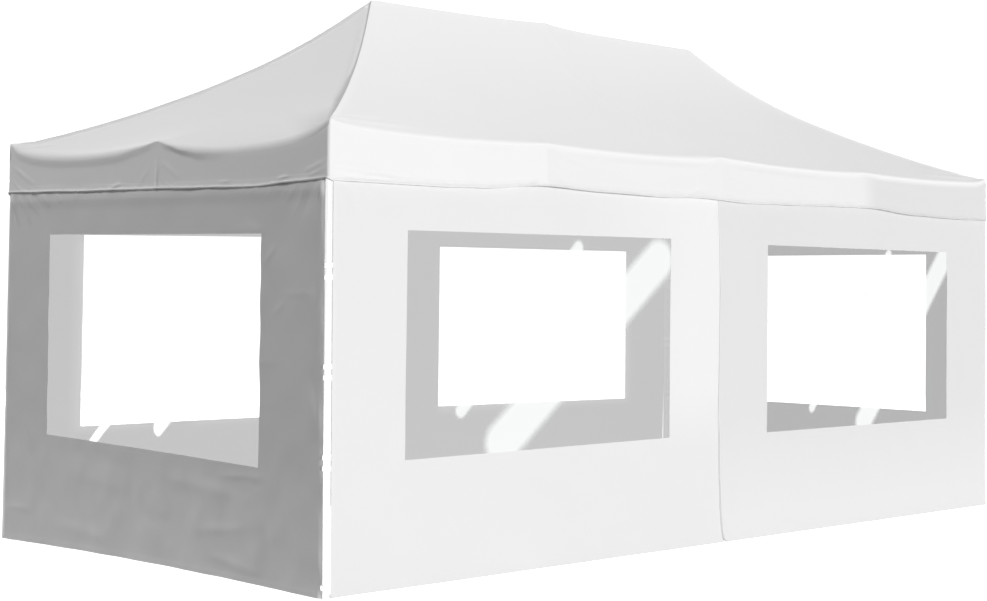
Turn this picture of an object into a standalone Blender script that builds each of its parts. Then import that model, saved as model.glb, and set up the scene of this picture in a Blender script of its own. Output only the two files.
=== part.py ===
"""Folding party marquee, 3 m by 6 m: a white coated-fabric roof with a valance and six windowed
wall panels, on a folding frame with six telescopic legs, nine scissor trusses and three roof posts.

Metres, +Z up. The origin is the middle of the footprint on the ground, +X runs along the long
side and -Y is the front. The whole tent is symmetric about X = 0 and Y = 0.
"""

import math

import bmesh
import bpy
import numpy as np
from mathutils import Matrix, Vector

# Outside faces of the valance, and the heights that the photograph gives.
HALF_LENGTH = 2.915
HALF_WIDTH = 1.475
EAVE = 2.250
VALANCE_BOTTOM = 1.985
PEAK = 3.145
PEAK_X = 1.440
RIDGE_RISE = 0.028

# How far the cloth hangs below the straight line between its supports.
SLOPE_SAG = 0.105
LONG_EAVE_SAG = 0.035
SHORT_EAVE_SAG = 0.075
QUARTER_DROP = 0.018
SHORT_MIDDLE_DROP = 0.032

CLOTH = 0.004
ROOF_CLOTH = 0.005
GAP = 0.0003
CORNER_NOTCH = 0.0015

WALL_TOP = 2.100
WINDOW_HALF = 0.985
WINDOW_SILL = 0.620
WINDOW_HEAD = 1.745
WINDOW_X = 1.430
FILM = 0.0015

# The walls stop short of the corners, so that each corner leg shows between two panels.
CORNER_SHOWN = 0.024

LEG = 0.040
LEG_ROUND = 0.005
LEG_WALL = 0.0037
INNER_LEG = LEG - 2 * LEG_WALL - 2 * GAP
INNER_WALL = 0.0025
UPPER_BOTTOM = 0.90
LOWER_TOP = 1.20
FOOT = 0.100
FOOT_THICK = 0.006

BAR_HIGH = 0.025
BAR_THICK = 0.012
TRUSS_TOP = 2.185
TRUSS_BOTTOM = 1.915
PLANE_A = 0.012
PLANE_B = 0.026
CHEEK = 0.004
CHEEK_LONG = 0.034
CHEEK_HIGH = 0.040
HUB = 0.034
HUB_HIGH = 0.030
PIN = 0.006
PROP = 0.010
SLIDER_WALL = 0.006
POST = 0.030
CAP = 0.070
CAP_HIGH = 0.018

WALL_X = HALF_LENGTH - CLOTH - GAP
WALL_Y = HALF_WIDTH - CLOTH - GAP
FRAME_X = WALL_X - CLOTH - GAP
FRAME_Y = WALL_Y - CLOTH - GAP
LEG_X = FRAME_X - LEG / 2
LEG_Y = FRAME_Y - LEG / 2


for old in list(bpy.data.objects):
    bpy.data.objects.remove(old, do_unlink=True)

marquee = bpy.data.collections.new("marquee_tent")
cutters = bpy.data.collections.new("cutters")
bpy.context.scene.collection.children.link(marquee)
bpy.context.scene.collection.children.link(cutters)


def make_material(name, colour, roughness, metallic=0.0):
    """A Principled material in linear colour."""
    material = bpy.data.materials.new(name)
    material.use_nodes = True
    shader = material.node_tree.nodes["Principled BSDF"]
    shader.inputs["Base Color"].default_value = (*colour, 1.0)
    shader.inputs["Roughness"].default_value = roughness
    shader.inputs["Metallic"].default_value = metallic
    return material


ROOF_WHITE = make_material("roof_white", (0.86, 0.86, 0.86), 0.55)
WALL_WHITE = make_material("wall_white", (0.80, 0.80, 0.80), 0.60)
CLEAR_FILM = make_material("clear_film", (0.75, 0.76, 0.76), 0.12)
LEG_ALUMINIUM = make_material("leg_aluminium", (0.85, 0.85, 0.85), 0.30, 1.0)
BAR_ALUMINIUM = make_material("bar_aluminium", (0.70, 0.70, 0.70), 0.38, 1.0)
GREY_NYLON = make_material("grey_nylon", (0.30, 0.30, 0.30), 0.55)


def place(obj, material, group=marquee):
    """Gives the object its material and moves it into its collection."""
    for owner in list(obj.users_collection):
        owner.objects.unlink(obj)
    group.objects.link(obj)
    obj.data.materials.clear()
    obj.data.materials.append(material)
    return obj


def box(name, low, high, material, group=marquee):
    """A box between two opposite corners, with its scale applied."""
    low = Vector(low)
    high = Vector(high)
    bpy.ops.mesh.primitive_cube_add(size=1.0, location=(low + high) / 2)
    obj = bpy.context.active_object
    obj.name = name
    obj.data.transform(Matrix.Diagonal((high - low).to_4d()))
    return place(obj, material, group)


def bar(name, start, end, high, thick, side, material):
    """A flat bar from start to end, high in its own plane and thick along the vector side."""
    start = Vector(start)
    end = Vector(end)
    along = (end - start).normalized()
    side = Vector(side).normalized()
    up = side.cross(along)
    bpy.ops.mesh.primitive_cube_add(size=1.0)
    obj = bpy.context.active_object
    obj.name = name
    turn = Matrix((along, side, up)).transposed().to_4x4()
    size = Matrix.Diagonal(((end - start).length, thick, high, 1.0))
    obj.data.transform(Matrix.Translation((start + end) / 2) @ turn @ size)
    return place(obj, material, cutters)


def rod(name, start, end, radius, sides, material, group=cutters):
    """A round rod from start to end."""
    start = Vector(start)
    end = Vector(end)
    bpy.ops.mesh.primitive_cylinder_add(vertices=sides, radius=radius, depth=(end - start).length)
    obj = bpy.context.active_object
    obj.name = name
    turn = (end - start).to_track_quat("Z", "Y").to_matrix().to_4x4()
    obj.data.transform(Matrix.Translation((start + end) / 2) @ turn)
    return place(obj, material, group)


def combine(obj, others, operation):
    """Joins the others to the object, or cuts them from it, and removes them."""
    for index, other in enumerate(others):
        modifier = obj.modifiers.new(f"{operation.lower()}_{index}", "BOOLEAN")
        modifier.operation = operation
        modifier.object = other
    bpy.context.view_layer.update()
    graph = bpy.context.evaluated_depsgraph_get()
    mesh = bpy.data.meshes.new_from_object(obj.evaluated_get(graph))
    obj.modifiers.clear()
    obj.data = mesh
    for other in others:
        bpy.data.objects.remove(other, do_unlink=True)
    return obj


def fuse(name, pieces, material):
    """One node made of pieces that overlap."""
    body = combine(pieces[0], pieces[1:], "UNION")
    body.name = name
    return place(body, material)


def cut_with(obj, cutter):
    """Leaves a live Boolean on the object, with its cutter hidden from the render."""
    cutter.hide_render = True
    cutter.display_type = "WIRE"
    modifier = obj.modifiers.new("opening", "BOOLEAN")
    modifier.operation = "DIFFERENCE"
    modifier.object = cutter


def span_sag(position, supports, depth):
    """How far a cloth edge hangs between the two supports on either side of a place."""
    for left, right in zip(supports[:-1], supports[1:]):
        if left <= position <= right:
            share = (position - left) / (right - left)
            return depth * 4 * share * (1 - share)
    return 0.0


def eave_drop(position, half, supports, depth):
    """The eave's drop below its corners: cloth sag, and joints set a little lower than the heads."""
    quarter = QUARTER_DROP * math.sin(math.pi * abs(position) / half) ** 2
    return span_sag(position, supports, depth) + quarter


LONG_SUPPORTS = (-HALF_LENGTH, -HALF_LENGTH / 2, 0.0, HALF_LENGTH / 2, HALF_LENGTH)
SHORT_SUPPORTS = (-HALF_WIDTH, 0.0, HALF_WIDTH)


def long_eave_drop(x):
    return eave_drop(x, HALF_LENGTH, LONG_SUPPORTS, LONG_EAVE_SAG)


def short_eave_drop(y):
    lowered = SHORT_MIDDLE_DROP * (1 - abs(y) / HALF_WIDTH)
    return span_sag(y, SHORT_SUPPORTS, SHORT_EAVE_SAG) + lowered


def ridge_lift(x):
    """The ridge is propped in its middle and dips slightly on either side of the prop."""
    share = min(abs(x) / PEAK_X, 1.0)
    return RIDGE_RISE * (1 - share) ** 2


def roof_height(rise, drop, lift):
    """Height of the roof where rise is 0 at the eave and 1 at the ridge."""
    straight = EAVE + (PEAK - EAVE) * rise
    hollow = 4 * SLOPE_SAG * rise * (1 - rise)
    return straight - hollow - drop * (1 - rise) ** 3 + lift * rise ** 3


def front_point(across, rise):
    """A point of the front slope: across runs -1 to 1 along the eave, rise 0 to 1 up to the ridge."""
    reach = HALF_LENGTH + (PEAK_X - HALF_LENGTH) * rise
    x = across * reach
    y = -HALF_WIDTH * (1 - rise) - GAP / 2
    return x, y, roof_height(rise, long_eave_drop(across * HALF_LENGTH), ridge_lift(x))


def left_point(across, rise):
    """A point of the left slope, which ends in a point at the peak."""
    y = across * (HALF_WIDTH * (1 - rise) - GAP)
    x = -HALF_LENGTH + (HALF_LENGTH - PEAK_X) * rise - GAP
    return x, y, roof_height(rise, short_eave_drop(across * HALF_WIDTH), 0.0)


def under_roof(distance, drop=0.0, lift=0.0):
    """Height just below the roof cloth, at a distance in from the eave."""
    return roof_height(distance / HALF_WIDTH, drop, lift) - ROOF_CLOTH - GAP


def thick_grid(name, rows, offset, material):
    """A shell: a grid of points and the same grid moved by the offset, closed along its rim."""
    mesh = bmesh.new()
    grid = [[mesh.verts.new(point) for point in row] for row in rows]
    for low, high in zip(grid[:-1], grid[1:]):
        for index in range(len(low) - 1):
            mesh.faces.new((low[index], low[index + 1], high[index + 1], high[index]))
    bmesh.ops.remove_doubles(mesh, verts=mesh.verts, dist=1e-5)
    copied = bmesh.ops.extrude_face_region(mesh, geom=list(mesh.faces))
    moved = [item for item in copied["geom"] if isinstance(item, bmesh.types.BMVert)]
    bmesh.ops.translate(mesh, verts=moved, vec=offset)
    bmesh.ops.recalc_face_normals(mesh, faces=list(mesh.faces))
    data = bpy.data.meshes.new(name)
    mesh.to_mesh(data)
    mesh.free()
    obj = bpy.data.objects.new(name, data)
    marquee.objects.link(obj)
    return place(obj, material)


def turned_about_z(point, half_turn):
    """The point itself, or the point on the opposite side of the tent."""
    x, y, z = point
    return (-x, -y, z) if half_turn else (x, y, z)


def make_roof():
    """Four slopes that meet at the hips and the ridge."""
    across_long = np.linspace(-1, 1, 25)
    across_short = np.linspace(-1, 1, 13)
    rises = np.linspace(0, 1, 13)
    for name, half_turn in (("roof_front", False), ("roof_back", True)):
        rows = [[turned_about_z(front_point(a, r), half_turn) for a in across_long] for r in rises]
        thick_grid(name, rows, (0, 0, -ROOF_CLOTH), ROOF_WHITE)
    for name, half_turn in (("roof_left", False), ("roof_right", True)):
        rows = [[turned_about_z(left_point(a, r), half_turn) for a in across_short] for r in rises]
        thick_grid(name, rows, (0, 0, -ROOF_CLOTH), ROOF_WHITE)


def make_valance():
    """Four straight-hemmed strips that hang from the roof's edge.

    The long strips are a little lower at their ends, where the end slopes dip under the corner.
    """
    clear = ROOF_CLOTH + GAP
    short_end = HALF_WIDTH - CLOTH - GAP
    for name, half_turn in (("valance_front", False), ("valance_back", True)):
        bottom = []
        top = []
        for across in np.linspace(-1, 1, 25):
            x = across * HALF_LENGTH
            height = EAVE - long_eave_drop(x) - clear
            if abs(across) == 1:
                height -= CORNER_NOTCH
            bottom.append(turned_about_z((x, -HALF_WIDTH, VALANCE_BOTTOM), half_turn))
            top.append(turned_about_z((x, -HALF_WIDTH, height), half_turn))
        inward = -CLOTH if half_turn else CLOTH
        thick_grid(name, (bottom, top), (0, inward, 0), ROOF_WHITE)
    for name, half_turn in (("valance_left", False), ("valance_right", True)):
        bottom = []
        top = []
        for across in np.linspace(-1, 1, 13):
            y = min(max(across * HALF_WIDTH, -short_end), short_end)
            height = EAVE - short_eave_drop(y) - clear
            bottom.append(turned_about_z((-HALF_LENGTH, y, VALANCE_BOTTOM), half_turn))
            top.append(turned_about_z((-HALF_LENGTH, y, height), half_turn))
        inward = -CLOTH if half_turn else CLOTH
        thick_grid(name, (bottom, top), (inward, 0, 0), ROOF_WHITE)


def make_long_walls():
    """Two panels on each long side, meeting at the middle leg, each with one clear window."""
    for side_name, outward in (("front", -1), ("back", 1)):
        for half_name, hand in (("left", -1), ("right", 1)):
            faces = sorted((outward * WALL_Y, outward * (WALL_Y - CLOTH)))
            ends = sorted((hand * GAP / 2, hand * (WALL_X - CORNER_SHOWN)))
            wall = box(
                f"wall_{side_name}_{half_name}",
                (ends[0], faces[0], 0.0),
                (ends[1], faces[1], WALL_TOP),
                WALL_WHITE,
            )
            middle = hand * WINDOW_X
            hole = box(
                f"hole_{side_name}_{half_name}",
                (middle - WINDOW_HALF, faces[0] - CLOTH, WINDOW_SILL),
                (middle + WINDOW_HALF, faces[1] + CLOTH, WINDOW_HEAD),
                WALL_WHITE,
                cutters,
            )
            cut_with(wall, hole)
            centre = (faces[0] + faces[1]) / 2
            box(
                f"window_{side_name}_{half_name}",
                (middle - WINDOW_HALF + GAP, centre - FILM / 2, WINDOW_SILL + GAP),
                (middle + WINDOW_HALF - GAP, centre + FILM / 2, WINDOW_HEAD - GAP),
                CLEAR_FILM,
            )


def make_end_walls():
    """One panel on each short end, from leg to leg, with the same window."""
    reach = WALL_Y - CORNER_SHOWN
    for name, outward in (("left", -1), ("right", 1)):
        faces = sorted((outward * WALL_X, outward * (WALL_X - CLOTH)))
        wall = box(f"wall_{name}", (faces[0], -reach, 0.0), (faces[1], reach, WALL_TOP), WALL_WHITE)
        hole = box(
            f"hole_{name}",
            (faces[0] - CLOTH, -WINDOW_HALF, WINDOW_SILL),
            (faces[1] + CLOTH, WINDOW_HALF, WINDOW_HEAD),
            WALL_WHITE,
            cutters,
        )
        cut_with(wall, hole)
        centre = (faces[0] + faces[1]) / 2
        box(
            f"window_{name}",
            (centre - FILM / 2, -WINDOW_HALF + GAP, WINDOW_SILL + GAP),
            (centre + FILM / 2, WINDOW_HALF - GAP, WINDOW_HEAD - GAP),
            CLEAR_FILM,
        )


def round_uprights(obj, radius):
    """Rounds the four upright edges of a box."""
    mesh = bmesh.new()
    mesh.from_mesh(obj.data)
    upright = [edge for edge in mesh.edges if abs((edge.verts[0].co - edge.verts[1].co).normalized().z) > 0.9]
    bmesh.ops.bevel(mesh, geom=upright, offset=radius, segments=3, affect="EDGES", profile=0.5)
    mesh.to_mesh(obj.data)
    mesh.free()


def square_tube(x, y, width, wall, low, high, material):
    """A square tube with rounded corners, open at both ends."""
    half = width / 2
    inner = half - wall
    outside = box("tube", (x - half, y - half, low), (x + half, y + half, high), material, cutters)
    round_uprights(outside, LEG_ROUND)
    bore = box(
        "bore", (x - inner, y - inner, low - 0.01), (x + inner, y + inner, high + 0.01), material, cutters
    )
    return combine(outside, [bore], "DIFFERENCE")


def cheeks(x, y, direction, planes, level, root, material):
    """Pairs of ears on a leg that hold the end of a bar.

    direction points along the truss, away from the leg, planes are the bars' places across it, and
    root is where the ears begin, from the leg's middle.
    """
    along = Vector((*direction, 0.0))
    across = Vector((along.y, along.x, 0.0))
    found = []
    for plane in planes:
        for shift in (-1, 1):
            offset = plane + shift * (BAR_THICK / 2 + GAP + CHEEK / 2)
            middle = Vector((x, y, level)) + across * offset
            start = middle + along * root
            end = middle + along * (LEG / 2 + CHEEK_LONG)
            found.append(bar("ear", start, end, CHEEK_HIGH, CHEEK, across, material))
    return found


def leg_places():
    """Name, x, y and the trusses that meet each leg, as direction and the planes of both levels."""
    rows = []
    for y_name, y_sign in (("front", -1), ("back", 1)):
        for x_name, x_sign in (("left", -1), ("middle", 0), ("right", 1)):
            rows.append((f"{y_name}_{x_name}", x_sign, y_sign))
    return rows


def truss_ends(x_sign, y_sign):
    """Direction, plane of the top bar and plane of the bottom bar for each truss at a leg."""
    top_long = -y_sign * (PLANE_A - LEG / 2)
    low_long = -y_sign * (PLANE_B - LEG / 2)
    top_short = -x_sign * (PLANE_A - LEG / 2)
    low_short = -x_sign * (PLANE_B - LEG / 2)
    if x_sign:
        return [((-x_sign, 0), top_long, low_long), ((0, -y_sign), top_short, low_short)]
    half = (PLANE_B - PLANE_A) / 2
    return [((1, 0), top_long, low_long), ((-1, 0), top_long, low_long), ((0, -y_sign), -half, half)]


def plane_offset(direction, world_offset):
    """The ear's offset along its own across vector, from an offset along world X or Y."""
    across = direction[1] if direction[1] else direction[0]
    return world_offset * across


def make_legs():
    """Six telescopic legs: an upper tube with its head, a lower tube with its foot, and a slider."""
    for name, x_sign, y_sign in leg_places():
        x = x_sign * LEG_X
        y = y_sign * LEG_Y
        ends = truss_ends(x_sign, y_sign)

        drop = short_eave_drop(LEG_Y - LEG / 2) if x_sign else long_eave_drop(LEG / 2)
        head_top = under_roof(HALF_WIDTH - FRAME_Y, drop)
        upper = [square_tube(x, y, LEG, LEG_WALL, UPPER_BOTTOM, head_top - 0.010, LEG_ALUMINIUM)]
        half = LEG / 2
        upper.append(
            box("plug", (x - half, y - half, head_top - 0.030), (x + half, y + half, head_top), LEG_ALUMINIUM,
                cutters)
        )
        for direction, top_plane, _ in ends:
            planes = [plane_offset(direction, top_plane)]
            upper += cheeks(x, y, direction, planes, TRUSS_TOP, half - 0.002, LEG_ALUMINIUM)
        fuse(f"leg_upper_{name}", upper, LEG_ALUMINIUM)

        lower = [square_tube(x, y, INNER_LEG, INNER_WALL, FOOT_THICK / 2, LOWER_TOP, LEG_ALUMINIUM)]
        plate_x = x - x_sign * (FOOT - LEG) / 2
        plate_y = y - y_sign * (FOOT - LEG) / 2
        foot = FOOT / 2
        lower.append(
            box("plate", (plate_x - foot, plate_y - foot, 0.0), (plate_x + foot, plate_y + foot, FOOT_THICK),
                LEG_ALUMINIUM, cutters)
        )
        fuse(f"leg_lower_{name}", lower, LEG_ALUMINIUM)
        make_slider(name, x_sign, y_sign, ends)


def make_slider(name, x_sign, y_sign, ends):
    """A collar that runs on the upper tube, open on the wall's side, with ears for the lower bars."""
    x = x_sign * LEG_X
    y = y_sign * LEG_Y
    half = LEG / 2
    inner = LEG / 2 + GAP
    outer = inner + SLIDER_WALL
    low = TRUSS_BOTTOM - CHEEK_HIGH / 2
    high = TRUSS_BOTTOM + CHEEK_HIGH / 2
    corner_low = (x - (half if x_sign < 0 else outer), y - (half if y_sign < 0 else outer), low)
    corner_high = (x + (half if x_sign > 0 else outer), y + (half if y_sign > 0 else outer), high)
    collar = box("collar", corner_low, corner_high, GREY_NYLON, cutters)
    bore = box("bore", (x - inner, y - inner, low - 0.01), (x + inner, y + inner, high + 0.01), GREY_NYLON,
               cutters)
    pieces = [combine(collar, [bore], "DIFFERENCE")]
    for direction, _, low_plane in ends:
        planes = [plane_offset(direction, low_plane)]
        pieces += cheeks(x, y, direction, planes, TRUSS_BOTTOM, inner + 0.002, GREY_NYLON)
    fuse(f"slider_{name}", pieces, GREY_NYLON)


def make_truss(name, start, end, across, plane_a, plane_b, cap_top=None):
    """Two scissor pairs between two supports, joined by hubs in the middle.

    Bars in plane A start and end at the top, bars in plane B at the bottom.
    """
    start = Vector((*start, 0.0))
    end = Vector((*end, 0.0))
    middle = (start + end) / 2
    across = Vector((*across, 0.0))
    top = Vector((0, 0, TRUSS_TOP))
    low = Vector((0, 0, TRUSS_BOTTOM))
    side_a = across * plane_a
    side_b = across * plane_b
    along = (end - start).normalized()
    near = middle - along * HUB / 4
    far = middle + along * HUB / 4
    pieces = [
        bar("bar", start + top + side_a, near + low + side_a, BAR_HIGH, BAR_THICK, across, BAR_ALUMINIUM),
        bar("bar", far + low + side_a, end + top + side_a, BAR_HIGH, BAR_THICK, across, BAR_ALUMINIUM),
        bar("bar", start + low + side_b, near + top + side_b, BAR_HIGH, BAR_THICK, across, BAR_ALUMINIUM),
        bar("bar", far + top + side_b, end + low + side_b, BAR_HIGH, BAR_THICK, across, BAR_ALUMINIUM),
    ]
    waist = Vector((0, 0, (TRUSS_TOP + TRUSS_BOTTOM) / 2))
    outer = across * (plane_a - BAR_THICK / 2 - 0.003)
    inner = across * (plane_b + BAR_THICK / 2 + 0.003)
    for side in (start, end):
        pin = (side + middle) / 2 + waist
        pieces.append(rod("pin", pin + outer, pin + inner, PIN, 8, BAR_ALUMINIUM))
    centre = across * (plane_a + plane_b) / 2
    for level in (top, low):
        hub_start = middle + level + centre - along * HUB / 2
        hub_end = middle + level + centre + along * HUB / 2
        pieces.append(bar("hub", hub_start, hub_end, HUB_HIGH, HUB, across, BAR_ALUMINIUM))
    if cap_top:
        foot = middle + centre + Vector((0, 0, TRUSS_TOP))
        head = middle + centre + Vector((0, 0, cap_top))
        pieces.append(rod("prop", foot, head, PROP, 8, BAR_ALUMINIUM))
    return fuse(name, pieces, BAR_ALUMINIUM)


def make_trusses():
    """Six trusses round the edge, one across the middle and two along the ridge line."""
    start_gap = LEG / 2 + GAP + BAR_HIGH / 2
    prop_in = HALF_WIDTH - FRAME_Y + (PLANE_A + PLANE_B) / 2 - PROP
    for y_name, y_sign in (("front", -1), ("back", 1)):
        for x_name, x_sign in (("left", -1), ("right", 1)):
            line = y_sign * FRAME_Y
            make_truss(
                f"truss_{y_name}_{x_name}",
                (x_sign * (LEG_X - start_gap), line),
                (x_sign * start_gap, line),
                (0, -y_sign),
                PLANE_A,
                PLANE_B,
                under_roof(prop_in, long_eave_drop(LEG_X / 2)),
            )
    for name, x_sign in (("left", -1), ("right", 1)):
        make_truss(
            f"truss_{name}",
            (x_sign * FRAME_X, -(LEG_Y - start_gap)),
            (x_sign * FRAME_X, LEG_Y - start_gap),
            (-x_sign, 0),
            PLANE_A,
            PLANE_B,
            under_roof(prop_in, short_eave_drop(0.0)),
        )
    half = (PLANE_B - PLANE_A) / 2
    make_truss("truss_middle", (0, -(LEG_Y - start_gap)), (0, LEG_Y - start_gap), (1, 0), -half, half)
    outer_end = FRAME_X - (PLANE_A + PLANE_B) / 2 - HUB / 2 - GAP - 0.004
    inner_end = HUB / 2 + GAP + 0.004
    for name, x_sign in (("left", -1), ("right", 1)):
        make_truss(
            f"truss_ridge_{name}",
            (x_sign * outer_end, 0),
            (x_sign * inner_end, 0),
            (0, 1),
            -half,
            half,
        )


def make_posts():
    """Three posts that stand on the truss hubs and push the roof up under its ridge."""
    foot = TRUSS_TOP + HUB_HIGH / 2 + GAP
    outer_end = FRAME_X - (PLANE_A + PLANE_B) / 2 - HUB / 2 - GAP - 0.004
    inner_end = HUB / 2 + GAP + 0.004
    post_x = (outer_end + inner_end) / 2
    rim = CAP / 2 + abs(post_x - PEAK_X)
    peak_head = under_roof(HALF_WIDTH - rim)
    middle_head = under_roof(HALF_WIDTH - CAP / 2, 0.0, ridge_lift(CAP / 2))
    for name, x, head in (
        ("left", -post_x, peak_head),
        ("middle", 0.0, middle_head),
        ("right", post_x, peak_head),
    ):
        tube = rod("tube", (x, 0, foot), (x, 0, head - CAP_HIGH / 2), POST / 2, 16, BAR_ALUMINIUM)
        cap = rod("cap", (x, 0, head - CAP_HIGH), (x, 0, head), CAP / 2, 24, BAR_ALUMINIUM)
        fuse(f"post_{name}", [tube, cap], BAR_ALUMINIUM)


make_roof()
make_valance()
make_long_walls()
make_end_walls()
make_legs()
make_trusses()
make_posts()
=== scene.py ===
"""Looks of the folding party marquee: coated cloth, clear windows, straps, frame, studio and camera."""

import math

import bpy
import numpy as np
from mathutils import Matrix, Vector


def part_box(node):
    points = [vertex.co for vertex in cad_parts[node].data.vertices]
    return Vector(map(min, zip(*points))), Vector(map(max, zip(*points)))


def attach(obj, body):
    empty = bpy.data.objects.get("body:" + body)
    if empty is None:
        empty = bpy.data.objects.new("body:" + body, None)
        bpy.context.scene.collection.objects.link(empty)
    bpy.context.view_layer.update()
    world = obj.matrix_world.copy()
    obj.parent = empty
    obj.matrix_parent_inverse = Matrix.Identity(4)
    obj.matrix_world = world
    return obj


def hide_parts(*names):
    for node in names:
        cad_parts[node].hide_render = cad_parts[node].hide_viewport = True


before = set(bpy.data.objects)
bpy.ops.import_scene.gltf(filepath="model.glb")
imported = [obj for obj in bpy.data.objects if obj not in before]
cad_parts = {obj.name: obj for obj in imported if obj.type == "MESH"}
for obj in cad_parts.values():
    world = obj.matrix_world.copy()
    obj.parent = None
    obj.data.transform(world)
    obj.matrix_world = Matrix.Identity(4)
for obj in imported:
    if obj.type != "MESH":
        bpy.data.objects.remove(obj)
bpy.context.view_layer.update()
BODY = "root"

# Main sizes of the marquee in metres. The frame gives the outline, the rest repeats the model's values.
VALANCE_LOW, VALANCE_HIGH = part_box("valance_front")
HALF_LENGTH = float(VALANCE_HIGH[0])
HALF_WIDTH = -float(VALANCE_LOW[1])
EAVE = 2.250
PEAK = 3.145
PEAK_X = 1.440
RIDGE_RISE = 0.028
SLOPE_SAG = 0.105

WALL_LOW, WALL_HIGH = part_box("wall_front_left")
WALL_Y = -float(WALL_LOW[1])
WALL_X = -float(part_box("wall_left")[0][0])
WALL_TOP = float(WALL_HIGH[2])
CORNER_SHOWN = WALL_X + float(WALL_LOW[0])
WINDOW_LOW, WINDOW_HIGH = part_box("window_front_right")
WINDOW_X = float(WINDOW_LOW[0] + WINDOW_HIGH[0]) / 2
WINDOW_HALF = float(WINDOW_HIGH[0] - WINDOW_LOW[0]) / 2
WINDOW_SILL = float(WINDOW_LOW[2])
WINDOW_HEAD = float(WINDOW_HIGH[2])
LEG = 0.040
LEG_X = float(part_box("leg_upper_front_right")[1][0]) - LEG / 2
LEG_Y = -float(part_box("leg_upper_front_right")[0][1]) - LEG / 2
CLOTH = 0.0012


def linear(code):
    """sRGB hex to linear RGBA."""
    channels = np.array([int(code[i:i + 2], 16) for i in (0, 2, 4)]) / 255
    value = np.where(channels <= 0.04045, channels / 12.92, ((channels + 0.055) / 1.055) ** 2.4)
    return (*value.tolist(), 1.0)


WHITE = linear("FFFFFF")


def node(tree, kind, inputs=None, **settings):
    """Adds a shader node. Settings are its own properties. An input is a value, another node's socket, or
    another node, whose first output in use is meant."""
    made = tree.nodes.new(kind)
    for name, value in settings.items():
        setattr(made, name, value)
    for key, value in (inputs or {}).items():
        if isinstance(value, bpy.types.Node):
            value = next(output for output in value.outputs if output.enabled)
        if isinstance(value, bpy.types.NodeSocket):
            tree.links.new(value, made.inputs[key])
        else:
            made.inputs[key].default_value = value
    return made


def start_material(name):
    """An empty node material and its tree."""
    material = bpy.data.materials.new(name)
    material.use_nodes = True
    material.node_tree.nodes.clear()
    return material, material.node_tree


def finish_material(material, inputs):
    """Gives the material its Principled shader, with these inputs, and its output."""
    shader = node(material.node_tree, "ShaderNodeBsdfPrincipled", inputs)
    node(material.node_tree, "ShaderNodeOutputMaterial", {"Surface": shader})
    return material


def product(tree, ramps):
    """The product of ramps. Each is a value, the places where its run starts and ends, and what it is
    there and beyond, 0 and 1 where the ramp doesn't say."""
    names = ("Value", "From Min", "From Max", "To Min", "To Max")
    total = None
    for ramp in ramps:
        step = node(tree, "ShaderNodeMapRange", dict(zip(names, ramp)))
        if total is not None:
            step = node(tree, "ShaderNodeMath", {0: total, 1: step}, operation="MULTIPLY")
        total = step
    return total


FALLING = (1.0, 0.0)

# The painted light and shade of a cloth, laid over its white. Each is a colour and the ramps whose product
# says where it lies. A ramp starts with the value of the piece's map that it reads, 0 or 1.

# The roof's map holds the distance from the nearest hip and the rise. Painted light and shade: the white is
# painted brightest at the eave, a painted highlight on the fold, and greys a little towards the ridge, most
# on the short sides. The cloth beside a hip's foot gets painted shade where the pulls there shade it. Beside
# a hip's welted seam lies a grey line of painted shade on the short side, between 3 and 24 mm from the hip,
# from just above the eave to the peak.
ON_SHORT_SIDE = (0, -0.004, 0.0, *FALLING)
ROOF_PAINTED_SHADING = (
    ("FDFDFD", (1, 0.0, 0.45, *FALLING)),
    ("F2F2F2", (1, 0.45, 0.95)),
    ("FBFBFB", ON_SHORT_SIDE, (1, 0.30, 0.95)),
    ("D9D9D9", (0, -0.22, -0.03), (1, 0.05, 0.24, *FALLING), ON_SHORT_SIDE),
    ("BABABA", (0, -0.036, -0.016), (0, -0.006, -0.001, *FALLING), (1, 0.005, 0.03)),
)
# Each length of the valance has its own painted grey, painted shade that stands in for the angle at which it
# hangs, so some look greyer. The underside of the rolled hem and a wedge at the far left corner get painted
# shade. The valance's map holds both.
VALANCE_PAINTED_SHADE = (("E4E4E4", (0, 0.0, 1.0)), ("7C7C7C", (1, 0.0, 1.0)))
# A wall's map holds the place along it and the height. The first panel of a long side gets a painted
# highlight near the middle seam, where it turns towards the light, down to where the seam is tied. The other
# walls get painted light near the ground, a little brighter there as if the ground threw its light up at
# them.
FIRST_WALL_PAINTED_HIGHLIGHT = (("F4F4F4", (0, 1.7, 2.6), (1, 0.55, 0.90)),)
NEAR_GROUND = (1, 0.15, 0.75, *FALLING)
END_WALL_PAINTED_GROUND_LIGHT = (("F4F4F4", NEAR_GROUND),)
SECOND_WALL_PAINTED_GROUND_LIGHT = (("EEEEEE", NEAR_GROUND),)

# Pattern sizes in millimetres. Threads lie about 0.5 mm apart and the grain of metal, vinyl and nylon is
# finer still, too fine for a render of the whole tent, so they are drawn ten times coarser or more.
CLOUD_MM = 588.2353
CREASE_MM = 200.0
THREAD_MM = 5.0
RIPPLE_MM = 1000 / 3
METAL_GRAIN_MM = 10 / 3
NYLON_GRAIN_MM = 2.0


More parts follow.
